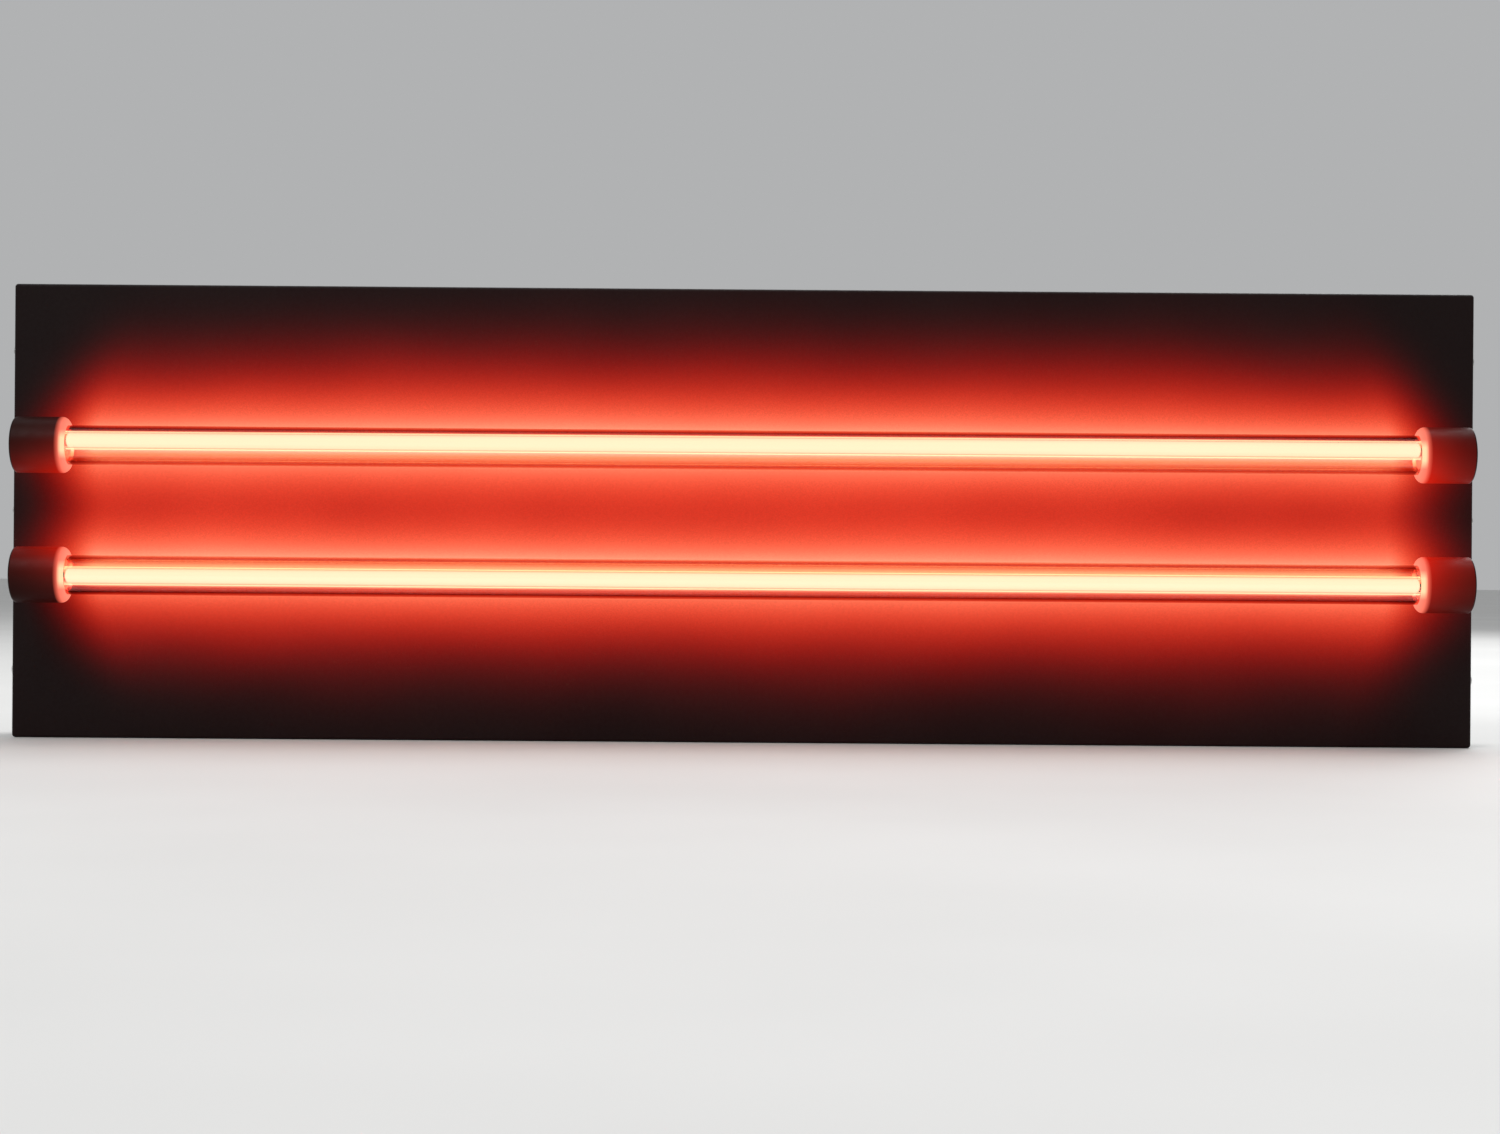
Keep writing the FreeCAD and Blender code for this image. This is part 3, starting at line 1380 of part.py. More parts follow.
def make_switch_body():
    """The rocker switch's housing, snapped into the wall behind its bezel."""
    housing = service_body("switch_body", "switch_z")
    bezel = new_sketch(housing, "bezel", "YZ_Plane")
    add_rectangle(bezel, "bezel_width / 2", "bezel_length / 2")
    pad(housing, "bezel", bezel, "bezel_height")
    round_edges(housing, "bezel_edges", "bezel_round", lambda edge: edge.BoundBox.XMin > TOUCH)
    box = new_sketch(housing, "box", "YZ_Plane")
    add_rectangle(box, "switch_width / 2", "switch_length / 2")
    pad(housing, "box", box, "switch_depth", back=True)
    well = new_sketch(housing, "well", "YZ_Plane", out="bezel_height")
    add_rectangle(well, "rocker_width / 2 + rocker_gap", "rocker_length / 2 + rocker_end_gap")
    pocket(housing, "well", well, "rocker_well + bezel_height")
    pivot = new_sketch(housing, "pivot")
    add_circle(pivot, "rocker_pin + 2 * fit")
    pocket(housing, "pivot", pivot, "rocker_width + 2 * pivot_depth", both=True)


def make_switch_blades():
    """The two spade terminals at the back of the switch."""
    blades = service_body("switch_blades", "switch_z")
    blade = new_sketch(blades, "blade", "YZ_Plane", up="blade_pitch / 2", out="-switch_depth - fit")
    add_rectangle(blade, "blade_width / 2", "blade_thickness / 2")
    blade_pad = pad(blades, "blade", blade, "blade_length", back=True)
    repeat(blades, [blade_pad], [UP_DOWN])


def make_switch_rocker():
    """The rocker on its two pins, tilted to the on position with its upper end pressed in."""
    rocker = service_body("switch_rocker", "switch_z", Rotation(Vector(0, 1, 0), -size("rocker_tilt")))
    side = new_sketch(rocker, "side")
    tip = "rocker_length / 2"
    crest = "bezel_height + rocker_crest"
    add_outline(
        side,
        (
            (crest, f"-{tip}"),
            ("bezel_height + rocker_dip", 0),
            (crest, tip),
            ("-rocker_skirt", tip),
            ("-rocker_keel", "rocker_length / 5"),
            ("-rocker_keel", "-rocker_length / 5"),
            ("-rocker_skirt", f"-{tip}"),
        ),
    )
    pad(rocker, "paddle", side, "rocker_width", both=True)
    pin = new_sketch(rocker, "pin")
    add_circle(pin, "rocker_pin")
    pad(rocker, "pin", pin, "rocker_width + 2 * pin_reach", both=True)


def make_fuse_holder():
    """The fuse holder's tube: a flange outside the wall and a closed bore behind it."""
    holder = service_body("fuse_holder", "fuse_z")
    section = new_sketch(holder, "section")
    inner = "holder_bore / 2"
    outer = "holder_diameter / 2"
    floor = "-holder_depth + holder_floor"
    add_outline(
        section,
        (
            ("holder_flange_height", inner),
            ("holder_flange_height", "holder_flange / 2 - holder_edge"),
            ("holder_flange_height - holder_edge", "holder_flange / 2"),
            (0, "holder_flange / 2"),
            (0, outer),
            ("-holder_depth", outer),
            ("-holder_depth", 0),
            (floor, 0),
            (floor, inner),
        ),
    )
    turn_profile(holder, "tube", section)

    nut = service_body("fuse_holder_nut", "fuse_z")
    hexagon = new_sketch(nut, "hexagon", "YZ_Plane", out="-sheet - fit")
    add_hexagon(hexagon, "holder_nut")
    add_circle(hexagon, "holder_diameter + 2 * fit")
    pad(nut, "nut", hexagon, "holder_nut_height", back=True)


def make_fuse_carrier():
    """The knob that pulls the fuse out of its holder."""
    carrier = service_body("fuse_carrier", "fuse_z")
    section = new_sketch(carrier, "section")
    face = "holder_flange_height + fit"
    back = f"{face} - carrier_length"
    add_outline(
        section,
        (
            (back, "fuse_diameter / 2 + fit"),
            (back, "carrier_diameter / 2"),
            (face, "carrier_diameter / 2"),
            (face, "knob_diameter / 2"),
            (f"{face} + knob_height - knob_edge", "knob_diameter / 2"),
            (f"{face} + knob_height", "knob_diameter / 2 - knob_edge"),
            (f"{face} + knob_height", 0),
            (f"{back} + fuse_grip + fit", 0),
            (f"{back} + fuse_grip + fit", "fuse_diameter / 2 + fit"),
        ),
    )
    turn_profile(carrier, "knob", section)
    grip = new_sketch(carrier, "grip", "YZ_Plane", out=f"{face} + knob_height")
    add_rectangle(grip, "knob_slot / 2", "knob_diameter * slot_share")
    pocket(carrier, "grip", grip, "knob_slot_depth")


def make_fuse():
    """The cartridge fuse, gripped at its outer end by the carrier."""
    fuse = service_body("fuse", "fuse_z")
    section = new_sketch(fuse, "section")
    outer_end = "holder_flange_height - carrier_length + fuse_grip + fit"
    inner_end = f"{outer_end} - fuse_length"
    radius = "fuse_diameter / 2"
    glass = f"{radius} - fuse_cap_step"
    add_outline(
        section,
        (
            (inner_end, 0),
            (inner_end, radius),
            (f"{inner_end} + fuse_grip", radius),
            (f"{inner_end} + fuse_grip", glass),
            (f"{outer_end} - fuse_grip", glass),
            (f"{outer_end} - fuse_grip", radius),
            (outer_end, radius),
            (outer_end, 0),
        ),
    )
    turn_profile(fuse, "cartridge", section)


# ---------------------------------------------------------------- assembly


def build_sign():
    make_back_tray()
    make_front_panel()
    make_panel_screws()
    make_rivet_nuts()
    make_tube("upper", 1, "upper_offset")
    make_tube("lower", -1, "lower_offset")
    for name, side, level in TUBE_ENDS:
        make_socket(name, side, level)
        make_contact_plunger(name, side, level)
        make_contact_spring(name, side, level)
    make_socket_gaskets()
    make_socket_plugs()
    make_socket_screws()
    make_sleeve_gaskets()
    make_contact_sleeves()
    make_supply_case()
    make_supply_lid()
    make_supply_board()
    make_board_spacers()
    make_ferrite_core()
    make_winding()
    make_filter_capacitors()
    make_output_bushings()
    make_studs_and_nuts()
    make_lead_clips()
    make_high_voltage_leads()
    make_mains_wires()
    make_earth_wire()
    make_terminal_block()
    make_terminal_screws()
    make_cable_grommet()
    make_switch_body()
    make_switch_blades()
    make_switch_rocker()
    make_fuse_holder()
    make_fuse_carrier()
    make_fuse()


def write_parts():
    """Checks the whole document, then writes each sub-part to its own STEP file."""
    doc.recompute()
    failed = [thing.Name for thing in doc.Objects if {"Invalid", "Error"} & set(thing.State)]
    failed += [part.Label for part in parts if part.Shape.isNull() or not part.Shape.isValid()]
    if failed:
        raise RuntimeError("failed objects: " + ", ".join(failed))
    os.makedirs("parts", exist_ok=True)
    for part in parts:
        part.Shape.exportStep(f"parts/{part.Label}.step")
        print(part.Label, len(part.Shape.Solids), round(part.Shape.Volume, 1))


build_sign()
write_parts()
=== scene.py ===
"""Looks for the two-tube neon sign: materials, the glow of the gas, a plain pale floor and studio light."""

import json
import math

import bmesh
import bpy
from mathutils import Euler, Matrix, Vector


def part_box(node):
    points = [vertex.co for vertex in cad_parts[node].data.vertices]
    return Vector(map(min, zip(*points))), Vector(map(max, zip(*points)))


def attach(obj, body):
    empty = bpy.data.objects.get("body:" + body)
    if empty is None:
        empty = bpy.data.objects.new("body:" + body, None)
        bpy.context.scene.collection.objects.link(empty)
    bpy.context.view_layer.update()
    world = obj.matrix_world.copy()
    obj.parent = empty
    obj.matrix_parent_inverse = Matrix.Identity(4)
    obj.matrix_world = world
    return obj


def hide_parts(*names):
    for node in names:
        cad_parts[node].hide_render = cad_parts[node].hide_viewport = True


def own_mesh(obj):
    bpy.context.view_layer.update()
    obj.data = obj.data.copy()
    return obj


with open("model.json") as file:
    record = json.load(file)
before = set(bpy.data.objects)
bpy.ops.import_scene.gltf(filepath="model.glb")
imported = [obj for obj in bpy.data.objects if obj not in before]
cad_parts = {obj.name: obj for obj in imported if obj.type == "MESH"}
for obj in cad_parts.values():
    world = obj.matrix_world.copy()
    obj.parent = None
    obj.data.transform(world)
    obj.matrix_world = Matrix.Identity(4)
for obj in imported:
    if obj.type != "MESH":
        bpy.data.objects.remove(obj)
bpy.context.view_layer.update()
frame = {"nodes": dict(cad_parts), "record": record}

MM = 0.001

# ---------------------------------------------------------------- places taken from the CAD

PANEL_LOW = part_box("front_panel")[0]
TUBES = ("upper", "lower")
ENDS = ("upper_left", "upper_right", "lower_left", "lower_right")


def centre_of(node):
    low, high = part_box(node)
    return (low + high) / 2


TUBE_AXIS = {name: centre_of(f"{name}_sleeve") for name in TUBES}
SOCKET_LOW, SOCKET_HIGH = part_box("socket_upper_right")
MOUTH_X = SOCKET_LOW.x
SOCKET_RADIUS = (SOCKET_HIGH.z - SOCKET_LOW.z) / 2

# ---------------------------------------------------------------- colours, as linear light

CHARCOAL = (0.0032, 0.0027, 0.0026)
CHARCOAL_LIGHT = (0.0058, 0.0046, 0.0044)
COAT_SHEEN = 0.32
COAT_SHEEN_LIT = 0.12
GLAZE = (0.006, 0.0025, 0.002)
GLAZE_LIGHT = (0.012, 0.0045, 0.003)
NEON_RED = (1.0, 0.052, 0.022)
CORE_CENTRE = (1.35, 1.02, 0.66)
CORE_EDGE = (1.15, 0.50, 0.24)
# Painted glow on the neon tube's own wall, for the light it carries beside the gas: most close to the gas,
# and little at the outline.
WALL_GLOW = (0.75, 0.48, 0.26)
WALL_GLOW_AT_OUTLINE = 0.1
# Painted light of the tube on the sockets: salmon on the lip, paler where the lip is level with the tube, red
# along the barrel.
LIP_INNER = (1.0, 0.27, 0.18)
LIP_OUTER = (0.95, 0.13, 0.08)
LIP_BY_TUBE = (1.2, 0.78, 0.44)
BODY_PAINTED_LIGHT = (1.0, 0.016, 0.004)

# The red light that one tube leaves on the panel, painted on as the panel's own emission: a fall-off with the
# distance from the tube.
# The panel turns orange where the light is strong, and pale orange right behind the tube.
GLOW_STRENGTH = 1.26
GLOW_REACH = 38.5 * MM
GLOW_SHAPE = 1.82
GLOW_OVERLAP_LOSS = 0.8
GLOW_RISE = 3.3 * MM
GLOW_END_INSET = 9.0 * MM
GLOW_END_STEEPNESS = 1.4
GLOW_END_ROUNDING = {"inner": 0.25, "outer": 0.38}
# How much the band narrows towards its left and right ends, between the tubes and on each one's outer side.
GLOW_NARROWING = {"inner": (0.05, 0.05), "upper": (0.16, 0.13), "lower": (0.24, 0.0)}
GLOW_SIDE_BLEND = 10 * MM
STRONG_GREEN, STRONG_BLUE = 0.045, 0.018
HALO_GREEN, HALO_GREEN_REACH = 0.85, 8.0 * MM
HALO_BLUE, HALO_BLUE_REACH = 0.62, 7.0 * MM
# A faint painted red glow over the whole front of the panel.
FAR_PAINTED_GLOW = 0.003

# Painted shade on the glass wall of a sleeve where it is seen edge on: strong on the side away from the other
# tube, and weak on the near side except close to the sockets. The side towards the other tube gets a painted
# warm cast.
SLEEVE_CLEAR = (1.0, 0.985, 0.98)
SLEEVE_PAINTED_WARMTH = (1.0, 0.88, 0.70)
PAINTED_EDGE_SHADE = (0.70, 0.15, 0.07)
PAINTED_EDGE_SHADE_AT_END = (0.45, 0.035, 0.012)
SLEEVE_EDGE_REACH = 180 * MM
SLEEVE_INNER_SHADE = 0.25
SLEEVE_END_SHADE = 0.9
SLEEVE_END_REACH = 26 * MM

NEON_GLASS_TINT = (1.0, 0.97, 0.95)
NEON_GLASS_INDEX = 1.30
FUSE_GLASS_TINT = (0.98, 0.99, 0.98)
FUSE_CAP_DARK = (0.52, 0.50, 0.46)
FUSE_CAP_LIGHT = (0.68, 0.67, 0.64)

# The tube's light painted on a socket as emission, from the lip outwards along the barrel.
LIP_LIT = 4.2 * MM
BARREL_LIT = 0.40
BARREL_REACH = 18 * MM
# The share of that light round the barrel: the least, the gain towards the other tube, and the gain's power.
BARREL_LEFT = (0.10, 1.3, 2.5)
BARREL_RIGHT = (0.45, 1.5, 1.0)
TUBE_WATTS = 6.0
TUBE_LAMP_WIDTH = 10 * MM

# ---------------------------------------------------------------- sizes of the pieces made here

SPRING_WIRE = 0.8 * MM
SPRING_TURNS = 4
FUSE_CAP = 5.0 * MM
FUSE_CAP_MARGIN = 0.1 * MM
# The lit gas keeps off the tube's wall and stops short of the electrodes, with flattened round ends.
GAS_INSET = 1.25 * MM
GAS_END_INSET = 1 * MM
GAS_END_FLATNESS = 0.6
GAS_END_STEPS = (0.0, 0.4, 0.8, 1.2)

# ---------------------------------------------------------------- camera, studio and floor

SENSOR_WIDTH = 36.0
LENS = 63.1
CAMERA_AWAY = 1.621
CAMERA_BELOW = 0.032
CAMERA_ASIDE = 0.0047
CAMERA_ROLL = -0.44

STUDIO_WHITE = (0.80, 0.81, 0.82)
STUDIO_STRENGTH = 0.55
# Each studio lamp: name, width, height, place, the point it aims at, and watts.
STUDIO_LAMPS = (
    ("key", 1.6, 1.2, (-1.3, -2.1, 2.3), (-0.4, -0.5, 0.6), 34),
    ("top", 2.4, 1.6, (0.3, 0.7, 2.2), (0.1, 0.1, 0.2), 40),
    ("back", 1.6, 1.2, (1.3, 2.5, 1.5), (0.3, 0.5, 0.3), 30),
)
FLOOR_SIZE = 30.0
FLOOR_GAP = 0.2 * MM
FLOOR_DARK = (0.66, 0.66, 0.65)
FLOOR_LIGHT = (0.70, 0.70, 0.69)

# ---------------------------------------------------------------- node helpers


def add(tree, kind, inputs=None, **settings):
    """A new node with its settings, and with inputs given as sockets to link or as values."""
    node = tree.nodes.new(kind)
    for name, value in settings.items():
        setattr(node, name, value)
    for name, value in (inputs or {}).items():
        if isinstance(value, bpy.types.NodeSocket):
            tree.links.new(value, node.inputs[name])
        else:
            node.inputs[name].default_value = value
    return node


def calc(tree, operation, *values):
    """The output of a math node on sockets or numbers."""
    return add(tree, "ShaderNodeMath", dict(enumerate(values)), operation=operation).outputs[0]


def place(tree):
    """The point on the piece, in metres in the sign's own frame."""
    return add(tree, "ShaderNodeTexCoord").outputs["Object"]


def faces(tree, axis):
    """How far the surface faces along an axis, from -1 to 1; 0, 1 and 2 are X, Y and Z."""
    normal = add(tree, "ShaderNodeNewGeometry").outputs["True Normal"]
    return add(tree, "ShaderNodeSeparateXYZ", {"Vector": normal}).outputs[axis]


def across_tube(tree):
    """How near its outline a tube along X is seen: 0 at its middle and 1 at its outline, from any side."""
    geometry = add(tree, "ShaderNodeNewGeometry")
    inputs = {0: geometry.outputs["Incoming"], 1: (0.0, 1.0, 1.0)}
    sight = add(tree, "ShaderNodeVectorMath", inputs, operation="MULTIPLY")
    sight = add(tree, "ShaderNodeVectorMath", {0: sight.outputs[0]}, operation="NORMALIZE")
    inputs = {0: sight.outputs[0], 1: geometry.outputs["Normal"]}
    facing = add(tree, "ShaderNodeVectorMath", inputs, operation="DOT_PRODUCT").outputs["Value"]
    return calc(tree, "SUBTRACT", 1.0, calc(tree, "ABSOLUTE", facing))


def noise(tree, scale, detail=2.0, roughness=0.5, vector=None):
    inputs = {"Vector": vector or place(tree), "Scale": scale, "Detail": detail, "Roughness": roughness}
    return add(tree, "ShaderNodeTexNoise", inputs).outputs[0]


def stretched(tree, x, y, z):
    """The place scaled by a factor on each axis, which draws a texture out along the smaller ones."""
    inputs = {"Vector": place(tree), "Scale": (x, y, z)}
    return add(tree, "ShaderNodeMapping", inputs).outputs[0]


def between(tree, factor, low, high, from_low=0.3, from_high=0.7):
    """Maps a texture's value to a range of numbers."""
    inputs = {"Value": factor, "From Min": from_low, "From Max": from_high, "To Min": low, "To Max": high}
    return add(tree, "ShaderNodeMapRange", inputs).outputs[0]


def blend_colour(tree, factor, first, second):
    node = add(tree, "ShaderNodeMix", data_type="RGBA")
    for socket, value in ((0, factor), (6, first), (7, second)):
        if isinstance(value, bpy.types.NodeSocket):
            tree.links.new(value, node.inputs[socket])
        elif socket == 0:
            node.inputs[socket].default_value = value
        else:
            node.inputs[socket].default_value = (*value, 1.0)
    return node.outputs[2]


def bump(tree, height, distance, strength=1.0, normal=None):
    inputs = {"Height": height, "Distance": distance, "Strength": strength}
    if normal:
        inputs["Normal"] = normal
    return add(tree, "ShaderNodeBump", inputs).outputs[0]


def new_material(name):
    material = bpy.data.materials.new(name)
    material.use_nodes = True
    tree = material.node_tree
    return material, tree, tree.nodes["Principled BSDF"]


def drive(tree, node, **inputs):
    """Sets or links inputs of a node; a name's underscores stand for spaces."""
    for name, value in inputs.items():
        socket = node.inputs[name.replace("_", " ")]
        if isinstance(value, bpy.types.NodeSocket):
            tree.links.new(value, socket)
        elif isinstance(value, tuple) and len(value) == 3 and socket.type == "RGBA":
            socket.default_value = (*value, 1.0)
        else:
            socket.default_value = value


# ---------------------------------------------------------------- the painted glow on the panel


def tube_distance(tree, tube):
    """The distance from a tube's lit length, seen square on to the panel."""
    split = add(tree, "ShaderNodeSeparateXYZ", {"Vector": place(tree)})
    along = calc(tree, "ABSOLUTE", split.outputs[0])
    aside = calc(tree, "SUBTRACT", split.outputs[2], TUBE_AXIS[tube].z + GLOW_RISE)
    away = calc(tree, "MULTIPLY", aside, math.copysign(1.0, TUBE_AXIS[tube].z))

    def by_side(inner, outer):
        return between(tree, away, inner, outer, -GLOW_SIDE_BLEND, GLOW_SIDE_BLEND)

    rounding = calc(tree, "MULTIPLY", calc(tree, "ABSOLUTE", aside), by_side(*GLOW_END_ROUNDING.values()))
    lit_end = calc(tree, "SUBTRACT", MOUTH_X - GLOW_END_INSET, rounding)
    past_end = calc(tree, "MAXIMUM", calc(tree, "SUBTRACT", along, lit_end), 0.0)
    past_end = calc(tree, "MULTIPLY", past_end, GLOW_END_STEEPNESS)
    square = calc(tree, "MULTIPLY_ADD", past_end, past_end, calc(tree, "MULTIPLY", aside, aside))
    share = calc(tree, "POWER", calc(tree, "DIVIDE", along, MOUTH_X), 2.0)
    inner, outer = (
        between(tree, split.outputs[0], *GLOW_NARROWING[side], -MOUTH_X, MOUTH_X) for side in ("inner", tube)
    )
    narrowing = calc(tree, "MULTIPLY_ADD", share, by_side(inner, outer), 1.0)
    return calc(tree, "MULTIPLY", calc(tree, "SQRT", square), narrowing)


def fall_off(tree, distance, reach, shape=1.0):
    steps = calc(tree, "POWER", calc(tree, "DIVIDE", distance, reach), shape)
    return calc(tree, "EXPONENT", calc(tree, "MULTIPLY", steps, -1.0))


def painted_panel_glow(tree):
    """The painted glow: the colour of the light that the panel would send back from the two tubes, given as
    its own emission.
    """
    wave = between(tree, noise(tree, 5.0, 2.0, vector=stretched(tree, 1.0, 0.0, 1.5)), 0.93, 1.07)
    distances = [calc(tree, "MULTIPLY", tube_distance(tree, tube), wave) for tube in TUBES]
    first, second = (fall_off(tree, distance, GLOW_REACH, GLOW_SHAPE) for distance in distances)
    both = calc(tree, "ADD", first, second)
    overlap = calc(tree, "DIVIDE", calc(tree, "MULTIPLY", first, second), calc(tree, "MAXIMUM", both, 1e-6))
    red = calc(tree, "MULTIPLY", calc(tree, "MULTIPLY_ADD", overlap, -GLOW_OVERLAP_LOSS, both), GLOW_STRENGTH)
    strong = calc(tree, "MULTIPLY", red, red)
    channels = [calc(tree, "ADD", red, FAR_PAINTED_GLOW)]
    for share, halo, reach in (
        (STRONG_GREEN, HALO_GREEN, HALO_GREEN_REACH),
        (STRONG_BLUE, HALO_BLUE, HALO_BLUE_REACH),
    ):
        upper, lower = (fall_off(tree, distance, reach) for distance in distances)
        band = calc(tree, "MULTIPLY", calc(tree, "ADD", upper, lower), halo)
        channels.append(calc(tree, "MULTIPLY_ADD", strong, share, band))
    return add(tree, "ShaderNodeCombineColor", dict(enumerate(channels))).outputs[0]


# ---------------------------------------------------------------- materials


def powder_coat(name, lit=False):
    """Fine-texture, nearly black powder coat: orange peel, a finer grain and faint blotches.

    A lit coat also has the tubes' red light painted on as emission where it faces forwards.
    """
    material, tree, surface = new_material(name)
    blotch = noise(tree, 14.0, 3.0)
    peel = noise(tree, 420.0, 2.0)
    grain = noise(tree, 1900.0, 1.0)
    drive(
        tree, surface,
        Base_Color=blend_colour(tree, between(tree, blotch, 0.0, 1.0), CHARCOAL, CHARCOAL_LIGHT),
        Roughness=between(tree, peel, 0.55, 0.70),
        Specular_IOR_Level=COAT_SHEEN,
        Normal=bump(tree, grain, 0.07 * MM, 0.8, bump(tree, peel, 0.20 * MM, 0.9)),
    )
    if lit:
        # Painted light: the tubes' glow goes on the front face as emission, varied with the grain.
        front = between(tree, faces(tree, 1), 1.0, 0.0, -0.9, -0.2)
        sheen = between(tree, front, COAT_SHEEN, COAT_SHEEN_LIT, 0.0, 1.0)
        strength = calc(tree, "MULTIPLY", between(tree, grain, 0.90, 1.10), front)
        drive(
            tree, surface,
            Specular_IOR_Level=sheen,
            Emission_Color=painted_panel_glow(tree),
            Emission_Strength=strength,
        )
    return material


def clear_glass(name, tint, index=1.47, sheen=0.3, draw_lines=0.15):
    """Clear drawn glass with faint draw lines along its length."""
    material, tree, surface = new_material(name)
    lines = noise(tree, 300.0, 2.0, vector=stretched(tree, 0.01, 1.0, 1.0))
    drive(
        tree, surface,
        Base_Color=tint,
        Roughness=0.0,
        IOR=index,
        Specular_IOR_Level=sheen,
        Transmission_Weight=1.0,
        Normal=bump(tree, lines, 0.02 * MM, draw_lines),
    )
    return material


def neon_glass(name):
    """The thin glass wall of a neon tube, with a painted glow for some of the gas's light that it carries
    towards its outline.
    """
    material = clear_glass(name, NEON_GLASS_TINT, NEON_GLASS_INDEX, 0.1, 0.05)
    tree = material.node_tree
    across = across_tube(tree)
    # Painted glow on the wall beside the gas, fading towards the outline.
    beside_gas = between(tree, across, 0.0, 1.0, 0.36, 0.44)
    to_outline = between(tree, across, 1.0, WALL_GLOW_AT_OUTLINE, 0.48, 0.74)
    strength = calc(tree, "MULTIPLY", beside_gas, to_outline)
    drive(tree, tree.nodes["Principled BSDF"], Emission_Color=WALL_GLOW, Emission_Strength=strength)
    material.cycles.emission_sampling = "NONE"
    return material


def sleeve_glass(name):
    """Thick clear glass with painted shade: its walls are tinted dark red where they are seen edge on, most
    on the outer sides, and painted warm on the side towards the other tube.
    """
    material = clear_glass(name, SLEEVE_CLEAR, sheen=0.1, draw_lines=0.05)
    tree = material.node_tree
    split = add(tree, "ShaderNodeSeparateXYZ", {"Vector": place(tree)})
    along = calc(tree, "ABSOLUTE", split.outputs[0])
    # How strong the painted edge shade is: weak on the side towards the other tube, strong on the outer side
    # and near the sockets.
    inner = between(
        tree, along, SLEEVE_INNER_SHADE, SLEEVE_END_SHADE, MOUTH_X - SLEEVE_END_REACH, MOUTH_X
    )
    aside = calc(tree, "SUBTRACT", calc(tree, "ABSOLUTE", split.outputs[2]), TUBE_AXIS["upper"].z)
    outer = between(tree, aside, 0.0, 1.0, -2 * MM, 2 * MM)
    strength = calc(tree, "MAXIMUM", outer, inner)
    # Painted shade where the wall is seen edge on, and a painted warm cast on the side towards the other
    # tube.
    edge = between(tree, across_tube(tree), 0.0, 1.0, 0.25, 0.36)
    warm = between(tree, aside, 1.0, 0.0, -5.5 * MM, -3.0 * MM)
    glass = blend_colour(tree, warm, SLEEVE_CLEAR, SLEEVE_PAINTED_WARMTH)
    near_end = between(tree, along, 0.0, 1.0, MOUTH_X - SLEEVE_EDGE_REACH, MOUTH_X)
    dark = blend_colour(tree, near_end, PAINTED_EDGE_SHADE, PAINTED_EDGE_SHADE_AT_END)
    tint = blend_colour(tree, calc(tree, "MULTIPLY", edge, strength), glass, dark)
    drive(tree, tree.nodes["Principled BSDF"], Base_Color=tint)
    return material


def plated_metal(name, low, high, rough_low, rough_high, scale=300.0):
    """Bare or plated metal with a slightly cloudy finish."""
    material, tree, surface = new_material(name)
    cloud = noise(tree, scale, 3.0)
    drive(
        tree, surface,
        Base_Color=blend_colour(tree, between(tree, cloud, 0.0, 1.0), low, high),
        Metallic=1.0,
        Roughness=between(tree, cloud, rough_low, rough_high),
        Normal=bump(tree, noise(tree, 2500.0, 2.0), 0.01 * MM, 0.3),
    )
    return material


def moulded(name, low, high, rough_low, rough_high, grain=0.03, scale=1500.0):
    """Moulded plastic, rubber or insulation with a fine spark texture."""
    material, tree, surface = new_material(name)
    patch = noise(tree, 60.0, 3.0)
    spark = noise(tree, scale, 2.0)
    drive(
        tree, surface,
        Base_Color=blend_colour(tree, between(tree, patch, 0.0, 1.0), low, high),
        Roughness=between(tree, spark, rough_low, rough_high),
        Normal=bump(tree, spark, grain * MM, 0.5),
    )
    return material


def striped_insulation(name, first, second):
    """Insulation in two colours that run along the wire, each on its own side."""
    material = moulded(name, first, first, 0.30, 0.42)
    tree = material.node_tree
    side = between(tree, faces(tree, 1), 0.0, 1.0, -0.05, 0.05)
    shade = between(tree, noise(tree, 60.0, 3.0), 0.85, 1.0)
    colour = blend_colour(tree, side, second, first)
    faded = add(tree, "ShaderNodeVectorMath", {0: colour, 1: shade}, operation="MULTIPLY")
    drive(tree, tree.nodes["Principled BSDF"], Base_Color=faded.outputs[0])
    return material


def mouth_light(tree):
    """The tube's light painted on a socket: salmon on the lip, then red that fades outwards along the barrel.
    """
    split = add(tree, "ShaderNodeSeparateXYZ", {"Vector": place(tree)})
    out = calc(tree, "SUBTRACT", calc(tree, "ABSOLUTE", split.outputs[0]), MOUTH_X)
    lip = between(tree, out, 1.0, 0.0, LIP_LIT * 0.55, LIP_LIT * 1.3)
    salmon = blend_colour(tree, between(tree, out, 0.0, 1.0, 0.0, LIP_LIT), LIP_INNER, LIP_OUTER)
    # Painted light round the barrel, strongest on the side towards the other tube.
    aside = calc(tree, "SUBTRACT", TUBE_AXIS["upper"].z, calc(tree, "ABSOLUTE", split.outputs[2]))
    across = between(tree, aside, 0.0, 1.0, -SOCKET_RADIUS, SOCKET_RADIUS)
    left, right = (
        calc(tree, "MULTIPLY_ADD", calc(tree, "POWER", across, power), gain, least)
        for least, gain, power in (BARREL_LEFT, BARREL_RIGHT)
    )
    inward = between(tree, split.outputs[0], left, right, -MOUTH_X, MOUTH_X)
    fade = calc(tree, "EXPONENT", calc(tree, "DIVIDE", out, -BARREL_REACH))
    # Faces turned away from the tube along X get none of the painted light.
    outward = calc(tree, "MULTIPLY", faces(tree, 0), calc(tree, "SIGN", split.outputs[0]))
    shaded = between(tree, outward, BARREL_LIT, 0.0, 0.1, 0.6)
    barrel = calc(tree, "MULTIPLY", calc(tree, "MULTIPLY", fade, inward), shaded)
    red = blend_colour(tree, barrel, (0.0, 0.0, 0.0), BODY_PAINTED_LIGHT)
    # A paler painted glow on the lip where it is level with the tube.
    level = calc(tree, "ABSOLUTE", aside)
    by_tube = calc(
        tree, "MULTIPLY",
        between(tree, level, 1.0, 0.0, 4 * MM, 9 * MM),
        between(tree, out, 1.0, 0.0, LIP_LIT * 0.3, LIP_LIT * 0.75),
    )
    return blend_colour(tree, lip, red, blend_colour(tree, by_tube, salmon, LIP_BY_TUBE))


